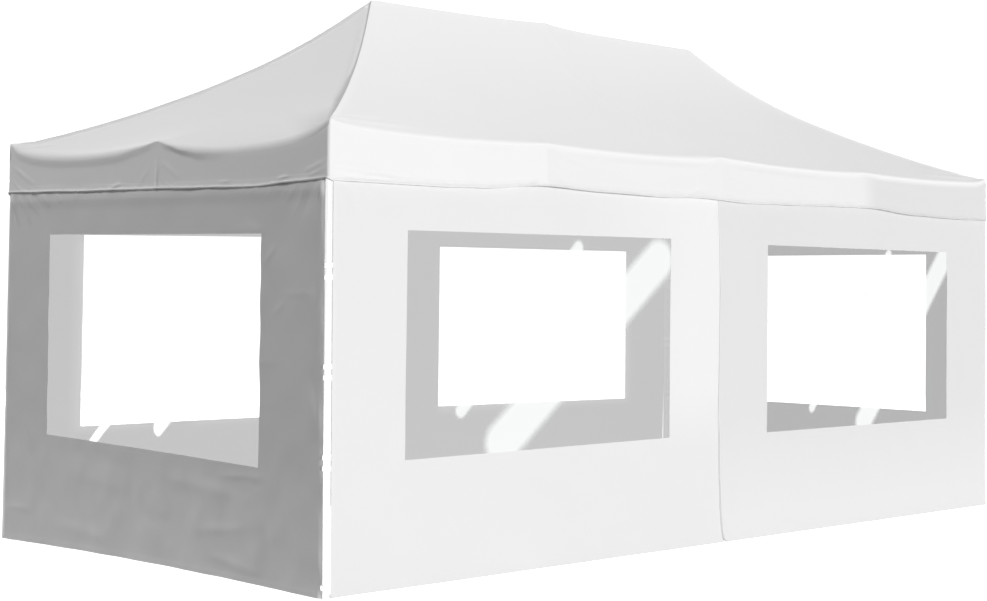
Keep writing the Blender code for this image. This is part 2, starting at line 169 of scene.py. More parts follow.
def coated_cloth(name, colour, shade, roughness, daylight=0.0, painted_tones=()):
    """PVC-coated woven polyester: an even white with faint clouding and the weave just showing through, with
    painted light and shade laid over it where a piece asks for it. Daylight is a painted glow that makes an
    inner face glow evenly, standing in for the sun through thin cloth, and its own colour is painted darker
    so that the light inside hardly changes it."""
    material, tree = start_material(name)
    place = node(tree, "ShaderNodeTexCoord").outputs["Object"]
    clouds = node(tree, "ShaderNodeTexNoise", {"Vector": place, "Scale": 1000 / CLOUD_MM, "Detail": 3.0})
    ends = {"Factor": clouds, "A": linear(shade), "B": linear(colour)}
    tinted = node(tree, "ShaderNodeMix", ends, data_type="RGBA")
    if painted_tones:
        surface = node(tree, "ShaderNodeUVMap", uv_map="surface")
        parts = node(tree, "ShaderNodeSeparateXYZ", {0: surface}).outputs
    for tone, *ramps in painted_tones:
        where = product(tree, [(parts[index], *run) for index, *run in ramps])
        tinted = node(
            tree, "ShaderNodeMix", {"Factor": where, "A": tinted, "B": linear(tone)}, data_type="RGBA"
        )
    turned = node(tree, "ShaderNodeMapping", {"Vector": place, "Rotation": (0.0, 0.0, math.pi / 4)})
    weave = node(tree, "ShaderNodeTexNoise", {"Vector": turned, "Scale": 1000 / THREAD_MM, "Detail": 1.0})
    creases = node(tree, "ShaderNodeTexNoise", {"Vector": place, "Scale": 1000 / CREASE_MM, "Detail": 4.0})
    coarse = node(tree, "ShaderNodeBump", {"Strength": 0.10, "Distance": 0.004, "Height": creases})
    fine = node(
        tree, "ShaderNodeBump", {"Strength": 0.12, "Distance": 0.0005, "Height": weave, "Normal": coarse}
    )
    return finish_material(
        material,
        {
            "Base Color": tinted,
            "Emission Color": WHITE,
            "Emission Strength": daylight,
            "Normal": fine,
            "Roughness": roughness,
            "Specular IOR Level": 0.35,
        },
    )


# Inner faces are painted this dark grey under their painted glow, so that the light inside hardly changes
# them.
INSIDE_COLOUR = "3C3C3C"
# Distances from a corner leg's middle between which the painted glow of its inner faces sets in.
INNER_FACE = (0.0196, 0.0188)


def faces_inside(tree, place):
    """Where the painted glow goes: 1 on the faces of the corner legs that look into the tent, 0 on the others
    and on the middle legs: the larger of a mask by length and one by width, each times a ramp that leaves the
    middle out."""
    distance = node(tree, "ShaderNodeVectorMath", {0: place}, operation="ABSOLUTE")
    parts = node(tree, "ShaderNodeSeparateXYZ", {0: distance}).outputs
    masks = []
    for axis, middle in (("X", LEG_X), ("Y", LEG_Y)):
        low, high = (middle - reach for reach in INNER_FACE)
        masks.append(product(tree, [(parts[axis], low, high, *FALLING), (parts["X"], 1.0, 1.1)]))
    return node(tree, "ShaderNodeMath", dict(enumerate(masks)), operation="MAXIMUM")


def plain_material(name, colour, roughness, grain_mm, metallic=0.0, bump=0.05, daylight=0.0):
    """A moulded or drawn surface with a fine grain that breaks up its gloss. Daylight is a painted glow: the
    faces that look into the tent are painted dark grey and glow evenly like the walls beside them."""
    material, tree = start_material(name)
    place = node(tree, "ShaderNodeTexCoord").outputs["Object"]
    speck = node(tree, "ShaderNodeTexNoise", {"Vector": place, "Scale": 1000 / grain_mm, "Detail": 2.0})
    inputs = {
        "Base Color": linear(colour),
        "Metallic": metallic,
        "Normal": node(tree, "ShaderNodeBump", {"Strength": bump, "Distance": 0.0004, "Height": speck}),
        "Roughness": product(tree, [(speck, 0.0, 1.0, roughness * 0.85, roughness * 1.15)]),
    }
    if daylight:
        inside = faces_inside(tree, place)
        ends = {"Factor": inside, "A": linear(colour), "B": linear(INSIDE_COLOUR)}
        inputs["Base Color"] = node(tree, "ShaderNodeMix", ends, data_type="RGBA")
        inputs["Metallic"] = product(tree, [(inside, 0.0, 1.0, metallic, 0.0)])
        inputs["Emission Strength"] = product(tree, [(inside, 0.0, 1.0, 0.0, daylight)])
        inputs["Emission Color"] = WHITE
    return finish_material(material, inputs)


# The painted bands of glare, a painted reflection, on each window that shows them: start, end and half width,
# from its lower left corner.
PAINTED_GLARE_STREAKS = {
    "window_front_left": (((0.66, 0.05), (1.865, 1.00), 0.115), ((0.37, 0.225), (1.21, 1.060), 0.032)),
    "window_front_right": (((1.00, 0.02), (1.98, 1.13), 0.080), ((0.45, 0.13), (1.28, 1.10), 0.024)),
    "window_left": (((0.46, -0.02), (1.30, 0.68), 0.024), ((1.10, 0.120), (1.75, 0.65), 0.040)),
}
# Painted glow of the glare bands on each window, then the opacity of the clear film and of the painted glare.
PAINTED_GLARE_GLOW = {"window_front_left": 0.11, "window_front_right": 0.11, "window_left": 0.9}
FILM_ALPHA = 0.04
STREAK_ALPHA = 0.86


def streak(tree, place, start, end, half_width):
    """A slanting milky band of painted glare, 1 within the half width of the line from start to end and 0
    beyond its soft edge. The distance to the line is the length of the place less its nearest point on it."""
    start = np.array((*start, 0.0))
    run = np.array((*end, 0.0)) - start
    steps = run / float(run @ run)
    away = node(tree, "ShaderNodeVectorMath", {0: place, 1: start.tolist()}, operation="SUBTRACT")
    share = node(tree, "ShaderNodeVectorMath", {0: away, 1: steps.tolist()}, operation="DOT_PRODUCT")
    held = node(tree, "ShaderNodeMath", {0: share, 1: 1.0}, operation="MULTIPLY", use_clamp=True)
    near = node(tree, "ShaderNodeVectorMath", {0: run.tolist(), "Scale": held}, operation="SCALE")
    away = node(tree, "ShaderNodeVectorMath", {0: away, 1: near}, operation="SUBTRACT")
    length = node(tree, "ShaderNodeVectorMath", {0: away}, operation="LENGTH")
    low, high = half_width * 0.75, half_width * 1.2 + 0.012
    edges = {"Value": length, "From Min": low, "From Max": high, "To Min": 1.0, "To Max": 0.0}
    return node(tree, "ShaderNodeMapRange", edges, interpolation_type="SMOOTHSTEP")


def clear_film(name, streaks=(), glow=0.0):
    """Pressed clear soft PVC: glossy and almost invisible, with the milky slanting bands of glare that the
    photograph shows painted on, a painted reflection with a painted glow, soft at their edges."""
    material, tree = start_material(name)
    place = node(tree, "ShaderNodeUVMap", uv_map="surface").outputs["UV"]
    ripple = node(tree, "ShaderNodeTexNoise", {"Vector": place, "Scale": 1000 / RIPPLE_MM, "Detail": 1.0})
    inputs = {
        "Alpha": FILM_ALPHA,
        "Base Color": linear("F4F6F6"),
        "Emission Color": WHITE,
        "Normal": node(tree, "ShaderNodeBump", {"Strength": 0.2, "Distance": 0.004, "Height": ripple}),
        "Roughness": 0.08,
    }
    bands = [streak(tree, place, *line) for line in streaks]
    if bands:
        band = bands[0]
        for other in bands[1:]:
            band = node(tree, "ShaderNodeMath", {0: band, 1: other}, operation="MAXIMUM")
        inputs["Alpha"] = product(tree, [(band, 0.0, 1.0, FILM_ALPHA, STREAK_ALPHA)])
        inputs["Emission Strength"] = product(tree, [(band, 0.0, 1.0, 0.0, glow)])
    return finish_material(material, inputs)


FILM = clear_film("clear_pvc_film")
FILM_GLARE = {
    window: clear_film(f"clear_pvc_film_{window}", streaks, PAINTED_GLARE_GLOW[window])
    for window, streaks in PAINTED_GLARE_STREAKS.items()
}
# Coated polyester has a soft, wide gloss. Its inner faces are matt, painted dark, and carry a painted glow
# that stands in for the daylight behind them, weaker on the end walls.
ROOF_CLOTH = coated_cloth("roof_coated_polyester", "F9F9F9", "F6F6F6", 0.52, painted_tones=ROOF_PAINTED_SHADING)
VALANCE_CLOTH = coated_cloth("valance_coated_polyester", "F9F9F9", "F7F7F7", 0.52, painted_tones=VALANCE_PAINTED_SHADE)
WALL_CLOTH = coated_cloth("wall_coated_polyester", "EFEFEF", "ECECEC", 0.56)
# The wall cloth comes in lit and shaded copies: the second panels of the long sides and the end walls are
# greyer, and that grey is painted shade.
FIRST_WALL_CLOTH = coated_cloth(
    "wall_coated_polyester_first_panel", "EFEFEF", "ECECEC", 0.56, painted_tones=FIRST_WALL_PAINTED_HIGHLIGHT
)
SECOND_WALL_SHADED_CLOTH = coated_cloth(
    "wall_coated_polyester_second_panel", "E8E8E8", "E5E5E5", 0.56, painted_tones=SECOND_WALL_PAINTED_GROUND_LIGHT
)
END_WALL_SHADED_CLOTH = coated_cloth(
    "wall_coated_polyester_end_panel", "E5E5E5", "E2E2E2", 0.56, painted_tones=END_WALL_PAINTED_GROUND_LIGHT
)
ROOF_INSIDE = coated_cloth("roof_inner_face", "5A5A5A", "585858", 0.60, daylight=0.50)
LONG_WALL_INSIDE = coated_cloth("long_wall_inner_face", INSIDE_COLOUR, "3A3A3A", 0.60, daylight=0.530)
FIRST_WALL_INSIDE = coated_cloth("first_wall_inner_face", INSIDE_COLOUR, "3A3A3A", 0.60, daylight=0.492)
SHORT_WALL_INSIDE = coated_cloth("short_wall_inner_face", INSIDE_COLOUR, "3A3A3A", 0.60, daylight=0.390)
# Vinyl straps are glossier than the cloth. Anodised aluminium tube has long soft highlights, the bars a
# little duller than the legs, and moulded nylon is a dull dark grey.
# The faces of straps, sleeves and legs that look into the tent are painted dark grey with a painted glow.
STRAP_CLOTH = plain_material("glossy_vinyl_strap", "FDFDFD", 0.35, METAL_GRAIN_MM, 0.7, daylight=0.505)
LEG_METAL = plain_material("satin_anodised_leg", "DADADA", 0.26, METAL_GRAIN_MM, 1.0, daylight=0.505)
BAR_METAL = plain_material("satin_anodised_bar", "DCDDDD", 0.36, METAL_GRAIN_MM, 1.0)
NYLON = plain_material("moulded_grey_nylon", "55565A", 0.55, NYLON_GRAIN_MM, bump=0.2)


def finish_mesh(name, vertices, faces, material, uv=None):
    """Makes an object at the origin from whole arrays of vertices and faces."""
    mesh = bpy.data.meshes.new(name)
    mesh.from_pydata(vertices.reshape(-1, 3).tolist(), [], faces.reshape(-1, 4).tolist())
    mesh.polygons.foreach_set("use_smooth", np.ones(len(mesh.polygons), bool))
    mesh.materials.append(material)
    if uv is not None:
        loops = np.empty(len(mesh.loops), np.int32)
        mesh.loops.foreach_get("vertex_index", loops)
        layer = mesh.uv_layers.new(name="surface")
        layer.data.foreach_set("uv", uv.reshape(-1, 2)[loops].astype(np.float32).ravel())
    mesh.update()
    made = bpy.data.objects.new(name, mesh)
    bpy.context.scene.collection.objects.link(made)
    return made


def grid_faces(rows, columns, loop_columns=False):
    """Quads of a grid, as rows by columns by four. A loop joins its last column back to the first."""
    column = np.arange(columns if loop_columns else columns - 1)
    r, c = np.meshgrid(np.arange(rows - 1) * columns, column, indexing="ij")
    c2 = (c + 1) % columns
    return np.stack([r + c, r + c2, r + columns + c2, r + columns + c], axis=-1)


def modify(made, kind, **settings):
    """Adds a modifier with its settings and applies it."""
    bpy.context.view_layer.objects.active = made
    modifier = made.modifiers.new(kind.lower(), kind)
    for name, value in settings.items():
        setattr(modifier, name, value)
    bpy.ops.object.modifier_apply(modifier=modifier.name)


CUT_EDGE = math.radians(50)


def thicken(made, thickness, inner=None):
    """Gives a sheet its real thickness, inwards from the modelled face, with crisp cut edges. The
    inner face may take a material of its own."""
    if inner is not None:
        made.data.materials.append(inner)
    modify(made, "SOLIDIFY", thickness=thickness, offset=-1.0, material_offset=0 if inner is None else 1)
    made.data.set_sharp_from_angle(angle=CUT_EDGE)


def soft_noise(u, v, size, seed):
    """Smooth irregular field of about -1 to 1: the sum of sixteen plane waves of about the given
    length, each with its own direction and phase, over six."""
    waves = 16
    random = np.random.default_rng(seed)
    angle = random.uniform(0, math.tau, waves)
    length = size * random.uniform(0.7, 1.5, waves)
    phase = random.uniform(0, math.tau, waves)
    across = u[..., None] * np.cos(angle) + v[..., None] * np.sin(angle)
    return np.sin(math.tau * across / length + phase).sum(axis=-1) / 6.0


def fold_lines(u, v, lines):
    """Soft folds, each (u, v, u, v, half width, height): a bell-shaped ridge along a line that rises
    from nothing and fades again. A negative height is a groove."""
    total = np.zeros_like(u)
    for u0, v0, u1, v1, half_width, height in lines:
        run_u = u1 - u0
        run_v = v1 - v0
        share = ((u - u0) * run_u + (v - v0) * run_v) / (run_u * run_u + run_v * run_v)
        share = np.clip(share, 0, 1)
        distance = np.hypot(u - u0 - share * run_u, v - v0 - share * run_v)
        total += height * bell(distance, half_width) * np.sin(math.pi * share) ** 0.6
    return total


def blend_in(value, low, high):
    """Smooth step from 0 at low to 1 at high."""
    share = np.clip((value - low) / (high - low), 0, 1)
    return share * share * (3 - 2 * share)


def bell(value, width):
    """1 at 0, falling off on both sides with the square of the value over the width."""
    return np.exp(-((value / width) ** 2))


def fade(value, width):
    """1 at 0, falling off with the value over the width."""
    return np.exp(-value / width)


# The eave's supports, and for each bay between them the drop at its start and end, the depth of its sag
# and the squareness of its start and end, all fitted to the folds in the photograph.
LONG_SUPPORTS = np.array([-1.0, -0.5, 0.0, 0.5, 1.0]) * HALF_LENGTH
LONG_BAYS = (
    (0.000, 0.013, 0.027, 2.5, 1.5),
    (0.013, 0.000, 0.023, 1.8, 3.0),
    (0.000, 0.013, 0.021, 2.2, 2.2),
    (0.013, 0.000, 0.018, 2.0, 2.4),
)
SHORT_SUPPORTS = np.array([-HALF_WIDTH, -0.050, HALF_WIDTH])
SHORT_BAYS = ((0.000, 0.024, 0.082, 2.9, 2.2), (0.024, 0.000, 0.058, 1.8, 2.0))
# Supports, bays, half length and the depth of the even curve that the kinks fade to.
LONG_EDGE = (LONG_SUPPORTS, LONG_BAYS, HALF_LENGTH, 0.024)
SHORT_EDGE = (SHORT_SUPPORTS, SHORT_BAYS, HALF_WIDTH, 0.084)


def eave_drop(position, supports, bays):
    """How far the eave hangs below its corners: a straight line from support to support, plus a sag of
    the bay's depth times one less a power of the distance from its middle. A high power hangs
    squarely, as cloth does that is pulled tight over its support."""
    index = np.clip(np.searchsorted(supports, position) - 1, 0, len(bays) - 1)
    start, end, depth, square_start, square_end = np.array(bays)[index].T
    share = np.clip((position - supports[index]) / (supports[index + 1] - supports[index]), 0, 1)
    power = np.where(share < 0.5, square_start, square_end)
    return start + (end - start) * share + depth * (1 - np.abs(2 * share - 1) ** power)


def corner_boss(x, y):
    """The cloth stands up over the heads of the corner legs: a bell that fades within 0.1 m."""
    away = np.hypot(HALF_LENGTH - np.abs(x), HALF_WIDTH - np.abs(y))
    height = np.where(x < 0, np.where(y < 0, 0.008, 0.029), 0.018)
    reach = np.where((x < 0) & (y > 0), 0.09, 0.07)
    return height * bell(away, reach)


def ridge_lift(x):
    """The ridge is propped in its middle and falls off more quickly on its right."""
    return RIDGE_RISE * fade(np.abs(x), np.where(x < 0, 0.40, 0.20))


# The kinks of the eave's drop fade up the slope with this power of the way that is left.
KINK = 7
# One over the largest value of the rise cubed times one less the rise.
HIGH_UNIT = 9.48


def roof_height(rise, drop, even_drop, lift, x):
    """A straight slope less its sag, less the eave's drop, plus the ridge's lift. The sag is a parabola
    with a further hollow towards the ridge. The kinks of the drop turn into an even curve a little
    way up, which in turn fades with the cube of the distance."""
    straight = EAVE + (PEAK - EAVE) * rise
    high_sag = 0.041 + 0.009 * np.tanh(x)
    hollow = 4 * SLOPE_SAG * rise * (1 - rise) + HIGH_UNIT * high_sag * rise ** 3 * (1 - rise)
    near = (1 - rise) ** KINK
    lost = (drop * near + even_drop * (1 - near)) * (1 - rise) ** 3
    return straight - hollow - lost + lift * rise ** 3


def bay_steps(length, fine, coarse, reach=0.12):
    """Positions from 0 to length whose steps grow from fine at both ends to coarse between them."""
    probe = np.linspace(0, length, 1001)
    near = fade(np.minimum(probe, length - probe), reach)
    pace = 1 / (coarse + (fine - coarse) * near)
    count = np.concatenate([[0], np.cumsum((pace[1:] + pace[:-1]) / 2 * np.diff(probe))])
    steps = int(math.ceil(count[-1]))
    return np.interp(np.linspace(0, count[-1], steps + 1), count, probe)


CORNER_ROUND = 0.016
HIP_ROUND = 0.004
ARC_STEPS = 8


def eave_columns(fine, coarse, reach=0.12):
    """The points of the eave, anticlockwise from the front left corner, as whole arrays: the place on
    the inner rectangle, the outward normal, the drop of the eave and its even part, the distance to
    the nearest support and to the nearest corner, 1 on the long sides fading to 0 on the short ones,
    the length along the eave, the boss over the legs, the place in the plan, and the places by which
    the tables go. Opposite sides are the same, turned by half a circle."""
    parts = []
    turn = np.linspace(0, 1, ARC_STEPS + 1)[1:-1]
    for quarter, (sign_x, sign_y) in enumerate(((1, -1), (1, 1), (-1, 1), (-1, -1))):
        long_side = quarter % 2 == 0
        supports, bays, half, depth = LONG_EDGE if long_side else SHORT_EDGE
        runs = zip(supports[:-1], supports[1:])
        own = [low + bay_steps(high - low, fine, coarse, reach)[:-1] for low, high in runs]
        own = np.concatenate(own + [[half]])
        if not long_side:
            own = own[::-1]
        drop = eave_drop(own, supports, bays)
        even = depth * (1 - (own / half) ** 2)
        loose = np.abs(own[:, None] - supports[None, :]).min(axis=1)
        cornered = half - np.abs(own)
        if long_side:
            at = np.stack([own * -sign_y / half, np.full_like(own, sign_y)], axis=1)
        else:
            at = np.stack([np.full_like(own, sign_x), own * -sign_x / half], axis=1)
        angle = (quarter - 1) * math.pi / 2
        normal = np.tile((math.cos(angle), math.sin(angle)), (len(own), 1))
        parts.append((at, normal, drop, even, loose, cornered, np.full_like(own, float(long_side))))
        bend = angle + turn * math.pi / 2
        at = np.tile((float(sign_x), float(sign_y)), (len(turn), 1))
        normal = np.stack([np.cos(bend), np.sin(bend)], axis=1)
        none = np.zeros_like(turn)
        parts.append((at, normal, none, none, none, none, np.abs(np.sin(bend))))
    names = ("at", "normal", "drop", "even", "loose", "cornered", "side")
    columns = {name: np.concatenate([part[i] for part in parts]) for i, name in enumerate(names)}
    x, y = eave_ring(columns["at"], columns["normal"], 0.0)
    columns["along"] = np.concatenate([[0], np.cumsum(np.hypot(np.diff(x), np.diff(y)))])
    columns["boss"] = corner_boss(x, y)
    columns["x"], columns["y"] = x, y
    columns["long"] = np.where(y > 0, -x, x)
    columns["short"] = np.where(x > 0, -y, y)
    return columns


def eave_ring(at, normal, inward):
    """The eave's rounded rectangle moved inward: the inner rectangle's place plus the corner radius
    along the normal. The radius shrinks to the narrow round of a sewn hip."""
    room = HALF_WIDTH - inward
    radius = np.minimum(np.maximum(CORNER_ROUND - inward, HIP_ROUND), room)
    x = at[:, 0] * (HALF_LENGTH - inward - radius) + normal[:, 0] * radius
    y = at[:, 1] * (room - radius) + normal[:, 1] * radius
    return x, y


def smooth_line(position, knots):
    """Runs from knot to knot with smooth steps, level at each."""
    places, heights = np.array(knots).T
    index = np.clip(np.searchsorted(places, position) - 1, 0, len(places) - 2)
    share = blend_in((position - places[index]) / (places[index + 1] - places[index]), 0.0, 1.0)
    return heights[index] + (heights[index + 1] - heights[index]) * share


def along_eave(columns, long_knots, short_knots):
    """A size that runs from knot to knot along the eave, blended round the corners. The knots run along
    the front from left to right and along the left side from front to back. Opposite sides are the
    same, turned by half a circle."""
    weight = columns["normal"][:, 1] ** 2
    long_side = smooth_line(columns["long"], long_knots)
    short_side = smooth_line(columns["short"], short_knots)
    return weight * long_side + (1 - weight) * short_side


# Radius of the soft turn at the eave, and how far the cloth bulges there, both tight at the supports.
LONG_ROUND = (
    (-2.915, 0.012), (-2.75, 0.024), (-1.62, 0.026), (-1.4575, 0.010), (-1.30, 0.024), (-0.16, 0.024),
    (0.0, 0.010), (0.16, 0.022), (1.30, 0.022), (1.4575, 0.010), (1.62, 0.022), (2.75, 0.022), (2.915, 0.010),
)
SHORT_ROUND = (
    (-1.475, 0.046), (-1.30, 0.062), (-0.95, 0.058), (-0.45, 0.044), (-0.30, 0.030), (-0.16, 0.012),
    (-0.05, 0.008), (0.12, 0.024), (0.35, 0.044), (1.15, 0.050), (1.36, 0.034), (1.475, 0.010),
)
LONG_BULGE = (
    (-2.915, 0.0), (-2.60, 0.004), (-2.10, 0.010), (-1.80, 0.013), (-1.4575, 0.0), (-1.20, 0.011),
    (-0.80, 0.016), (-0.30, 0.018), (0.0, 0.0), (0.25, 0.018), (0.80, 0.017), (1.20, 0.008), (1.4575, 0.0),
    (1.80, 0.010), (2.50, 0.008), (2.915, 0.0),
)
SHORT_BULGE = (
    (-1.475, 0.0), (-0.70, 0.0), (-0.52, 0.004), (-0.38, 0.014), (-0.20, 0.020), (-0.05, 0.002),
    (0.10, 0.006), (0.40, 0.008), (1.00, 0.009), (1.30, 0.008), (1.475, 0.0),
)


def shoulder(columns):
    """The soft turn from the roof into the valance: tight at the supports, wider and bulging where the
    cloth hangs free between them. Returns its radius, the slope's angle, the length of the turn below
    and behind the eave line, and the bulge."""
    radius = along_eave(columns, LONG_ROUND, SHORT_ROUND)
    bulge = along_eave(columns, LONG_BULGE, SHORT_BULGE)
    climb = PEAK - EAVE - 4 * SLOPE_SAG + (3 + KINK) * columns["drop"] - KINK * columns["even"]
    slope = np.arctan(climb / HALF_WIDTH)
    tangent = radius * np.tan((math.pi / 2 - slope) / 2)
    return radius, slope, tangent, bulge


# Folds are (place, place, place, place, half width, height), from one point to another. These lie in the
# plan, on the quarter of the roof at the front left.
HIP_FOLDS = (
    (-2.86, -1.41, -2.28, -1.37, 0.020, 0.009),
    (-2.80, -1.33, -2.35, -1.25, 0.022, 0.004),
    (-2.885, -1.425, -2.66, -1.36, 0.010, 0.006),
    (-2.880, -1.400, -2.74, -1.27, 0.010, 0.005),
    (-2.885, -1.360, -2.80, -1.16, 0.012, 0.005),
)


def from_hip(x, y):
    """The distance from the nearest hip, which runs at 45 degrees, negative on the short sides."""
    return ((HALF_LENGTH - np.abs(x)) - (HALF_WIDTH - np.abs(y))) / math.sqrt(2)


def roof_relief(x, y, rise):
    """Height added to the smooth roof: slow waves, a ridge of tension that runs down the middle of the
    long slopes and falls off steeply on its right, a welted seam along hips and ridge with the cloth
    drawn down on both sides of it, most on the short one, and short pulls that fan out of the corners."""
    calm = 4 * rise * (1 - rise)
    height = 0.0030 * calm * soft_noise(x, y, 1.2, 4) + 0.0010 * calm * soft_noise(x, y, 0.35, 5)
    across = from_hip(x, y)
    beyond = np.where(y > 0, -x, x) + 0.17
    crest = fade(np.abs(beyond), np.where(beyond < 0, 0.34, 0.13))
    height += 0.024 * calm ** 0.7 * crest * blend_in(across, 0.0, 0.2)
    drawn = blend_in(rise, 0.015, 0.08) * blend_in(1 - rise, 0.0, 0.05)
    height += drawn * 0.009 * fade(np.abs(across), 0.010)
    height -= drawn * 0.007 * bell(across + 0.028, 0.020)
    height -= drawn * 0.002 * bell(across - 0.035, 0.022)
    on_ridge = blend_in(PEAK_X - np.abs(x), -0.02, 0.05)
    height += 0.004 * fade(np.abs(y), 0.014) * on_ridge * blend_in(rise, 0.85, 0.95)
    height += fold_lines(-np.abs(x), -np.abs(y), HIP_FOLDS)
    return height


# How much the map stretches the distance from a hip, as rise and stretch: where it is large the painted shade
# line beside the hip's seam is narrow. The hips at the front right and the back left, which the photograph
# shows only as outlines, have next to no painted line.
HIP_SHADE_STRETCH = ((0.0, 1.1), (0.12, 0.80), (0.30, 0.60), (0.50, 0.85), (0.80, 2.2))
FAINT_HIP_SHADE = 30.0


def make_canopy():
    """The roof as one sheet: from the foot of the eave's soft turn, round it, up the slopes and on to the
    ridge, where its last row closes on itself. Its map holds the distance from the nearest hip, negative on
    the short sides and stretched where the painted shade line beside the hip's seam is narrow, and the rise."""
    columns = eave_columns(fine=0.008, coarse=0.042, reach=0.22)
    at, normal, drop, even = columns["at"], columns["normal"], columns["drop"], columns["even"]
    radius, slope, tangent, bulge = shoulder(columns)
    rows = []
    heights = []
    for share in np.linspace(0, 1, 8)[:-1]:
        angle = share * (math.pi / 2 - slope)
        x, y = eave_ring(at, normal, radius * (1 - np.cos(angle)) - bulge)
        z = EAVE - drop - tangent + radius * np.sin(angle) + columns["boss"]
        rows.append(np.stack([x, y, z], axis=1))
        heights.append(np.zeros_like(x))
    start = radius * (1 - np.sin(slope)) / HALF_WIDTH
    low, high = 0.12, 0.97
    foot, slopes, top = np.linspace(0, low, 14), np.linspace(low, high, 42), np.linspace(high, 1, 4)
    for share in np.concatenate([foot[:-1], slopes[:-1], top]):
        rise = start + (1 - start) * share
        x, y = eave_ring(at, normal, HALF_WIDTH * rise - bulge * fade(rise - start, 0.035))
        lift = ridge_lift(x) * blend_in(columns["side"], 0.0, 1.0)
        z = roof_height(rise, drop, even, lift, x) + roof_relief(x, y, rise) + corner_boss(x, y)
        rows.append(np.stack([x, y, z], axis=1))
        heights.append(rise)
    rows = np.stack(rows)
    heights = np.stack(heights)
    x, y = rows[..., 0], rows[..., 1]
    narrow = np.interp(heights, *zip(*HIP_SHADE_STRETCH)) * np.where(x * y < 0, FAINT_HIP_SHADE, 1.0)
    uv = np.stack([from_hip(x, y) * narrow, heights], axis=-1)
    faces = grid_faces(*x.shape, loop_columns=True)
    canopy = finish_mesh("roof_canopy", rows, faces, ROOF_CLOTH, uv)
    modify(canopy, "WELD", merge_threshold=0.0002)
    thicken(canopy, CLOTH, ROOF_INSIDE)
    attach(canopy, BODY)
    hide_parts("roof_front", "roof_back", "roof_left", "roof_right")


# Heights of the hem.
LONG_HEM = (
    (-2.915, 1.966), (-2.20, 1.967), (-1.95, 1.974), (-1.48, 2.004), (-1.00, 1.992), (-0.55, 1.988),
    (-0.20, 1.998), (0.25, 1.986), (0.60, 1.991), (1.10, 2.002), (1.47, 2.007), (2.00, 1.979), (2.50, 1.972),
    (2.915, 1.978),
)
SHORT_HEM = (
    (-1.475, 1.976), (-1.23, 1.967), (-0.89, 1.953), (-0.41, 1.961), (-0.05, 1.969), (0.60, 1.976),
    (1.10, 1.986), (1.475, 1.994),
)
# Painted shade of the long valance: the painted grey of each length, and how dark the painted shade on the
# underside of its hem is.
LONG_LENGTH_PAINTED_SHADE = (
    (-2.915, 0.10), (-1.475, 0.12), (-1.44, 0.32), (-0.02, 0.34), (0.02, 0.38), (1.38, 0.38), (1.60, 1.0),
    (2.915, 1.0),
)
LONG_HEM_PAINTED_SHADE = (
    (-2.915, 0.0), (-2.20, 0.0), (-1.72, 0.05), (-1.56, 0.45), (-1.42, 0.62), (-1.24, 0.34), (-1.12, 0.34),
    (-0.98, 0.45), (-0.70, 0.43), (-0.58, 0.08), (0.40, 0.03), (0.60, 0.13), (2.915, 0.16),
)
# Small folds of the valance as (place, height, place, height, half width, depth).
LONG_VALANCE_FOLDS = (
    (-2.88, 2.015, -2.45, 1.990, 0.010, 0.004),
    (-2.88, 2.050, -2.62, 2.030, 0.010, 0.003),
    (-1.44, 2.120, -1.30, 2.030, 0.014, -0.004),
    (-1.36, 2.170, -1.15, 2.110, 0.012, 0.004),
    (-0.34, 2.010, -0.14, 2.070, 0.014, -0.004),
    (-0.22, 2.110, -0.03, 2.200, 0.014, 0.005),
    (0.10, 2.170, 0.32, 2.060, 0.016, -0.004),
    (0.04, 2.190, 0.16, 2.090, 0.012, 0.004),
    (1.30, 2.060, 1.42, 2.000, 0.014, -0.003),
    (-1.60, 1.995, -1.50, 2.040, 0.012, 0.003),
)
SHORT_VALANCE_FOLDS = (
    (-0.045, 2.080, -0.045, 1.960, 0.010, 0.005),
    (-0.070, 2.075, -0.200, 1.990, 0.012, -0.005),
    (-0.065, 2.060, -0.120, 1.970, 0.010, -0.004),
    (-0.090, 2.110, -0.260, 2.020, 0.014, 0.004),
    (0.020, 2.090, 0.130, 1.990, 0.014, 0.003),
    (1.440, 2.150, 1.150, 2.020, 0.014, 0.005),
    (1.420, 2.110, 1.220, 1.990, 0.012, -0.005),
    (1.440, 2.070, 1.300, 1.990, 0.010, 0.004),
    (-1.465, 2.060, -1.290, 2.015, 0.012, 0.0040),
    (-1.465, 2.030, -1.330, 1.995, 0.010, 0.0040),
    (-1.460, 2.110, -1.330, 2.045, 0.014, -0.0025),
    (-1.180, 2.000, -1.080, 1.985, 0.010, 0.004),
    (-0.700, 1.990, -0.600, 1.985, 0.010, 0.003),
    (0.280, 2.010, 0.380, 1.990, 0.012, 0.004),
)


VALANCE_HEM = 0.024
HEM_ROLL = 0.0055
ROLL_START = math.radians(50)
ROLL_END = math.radians(-115)


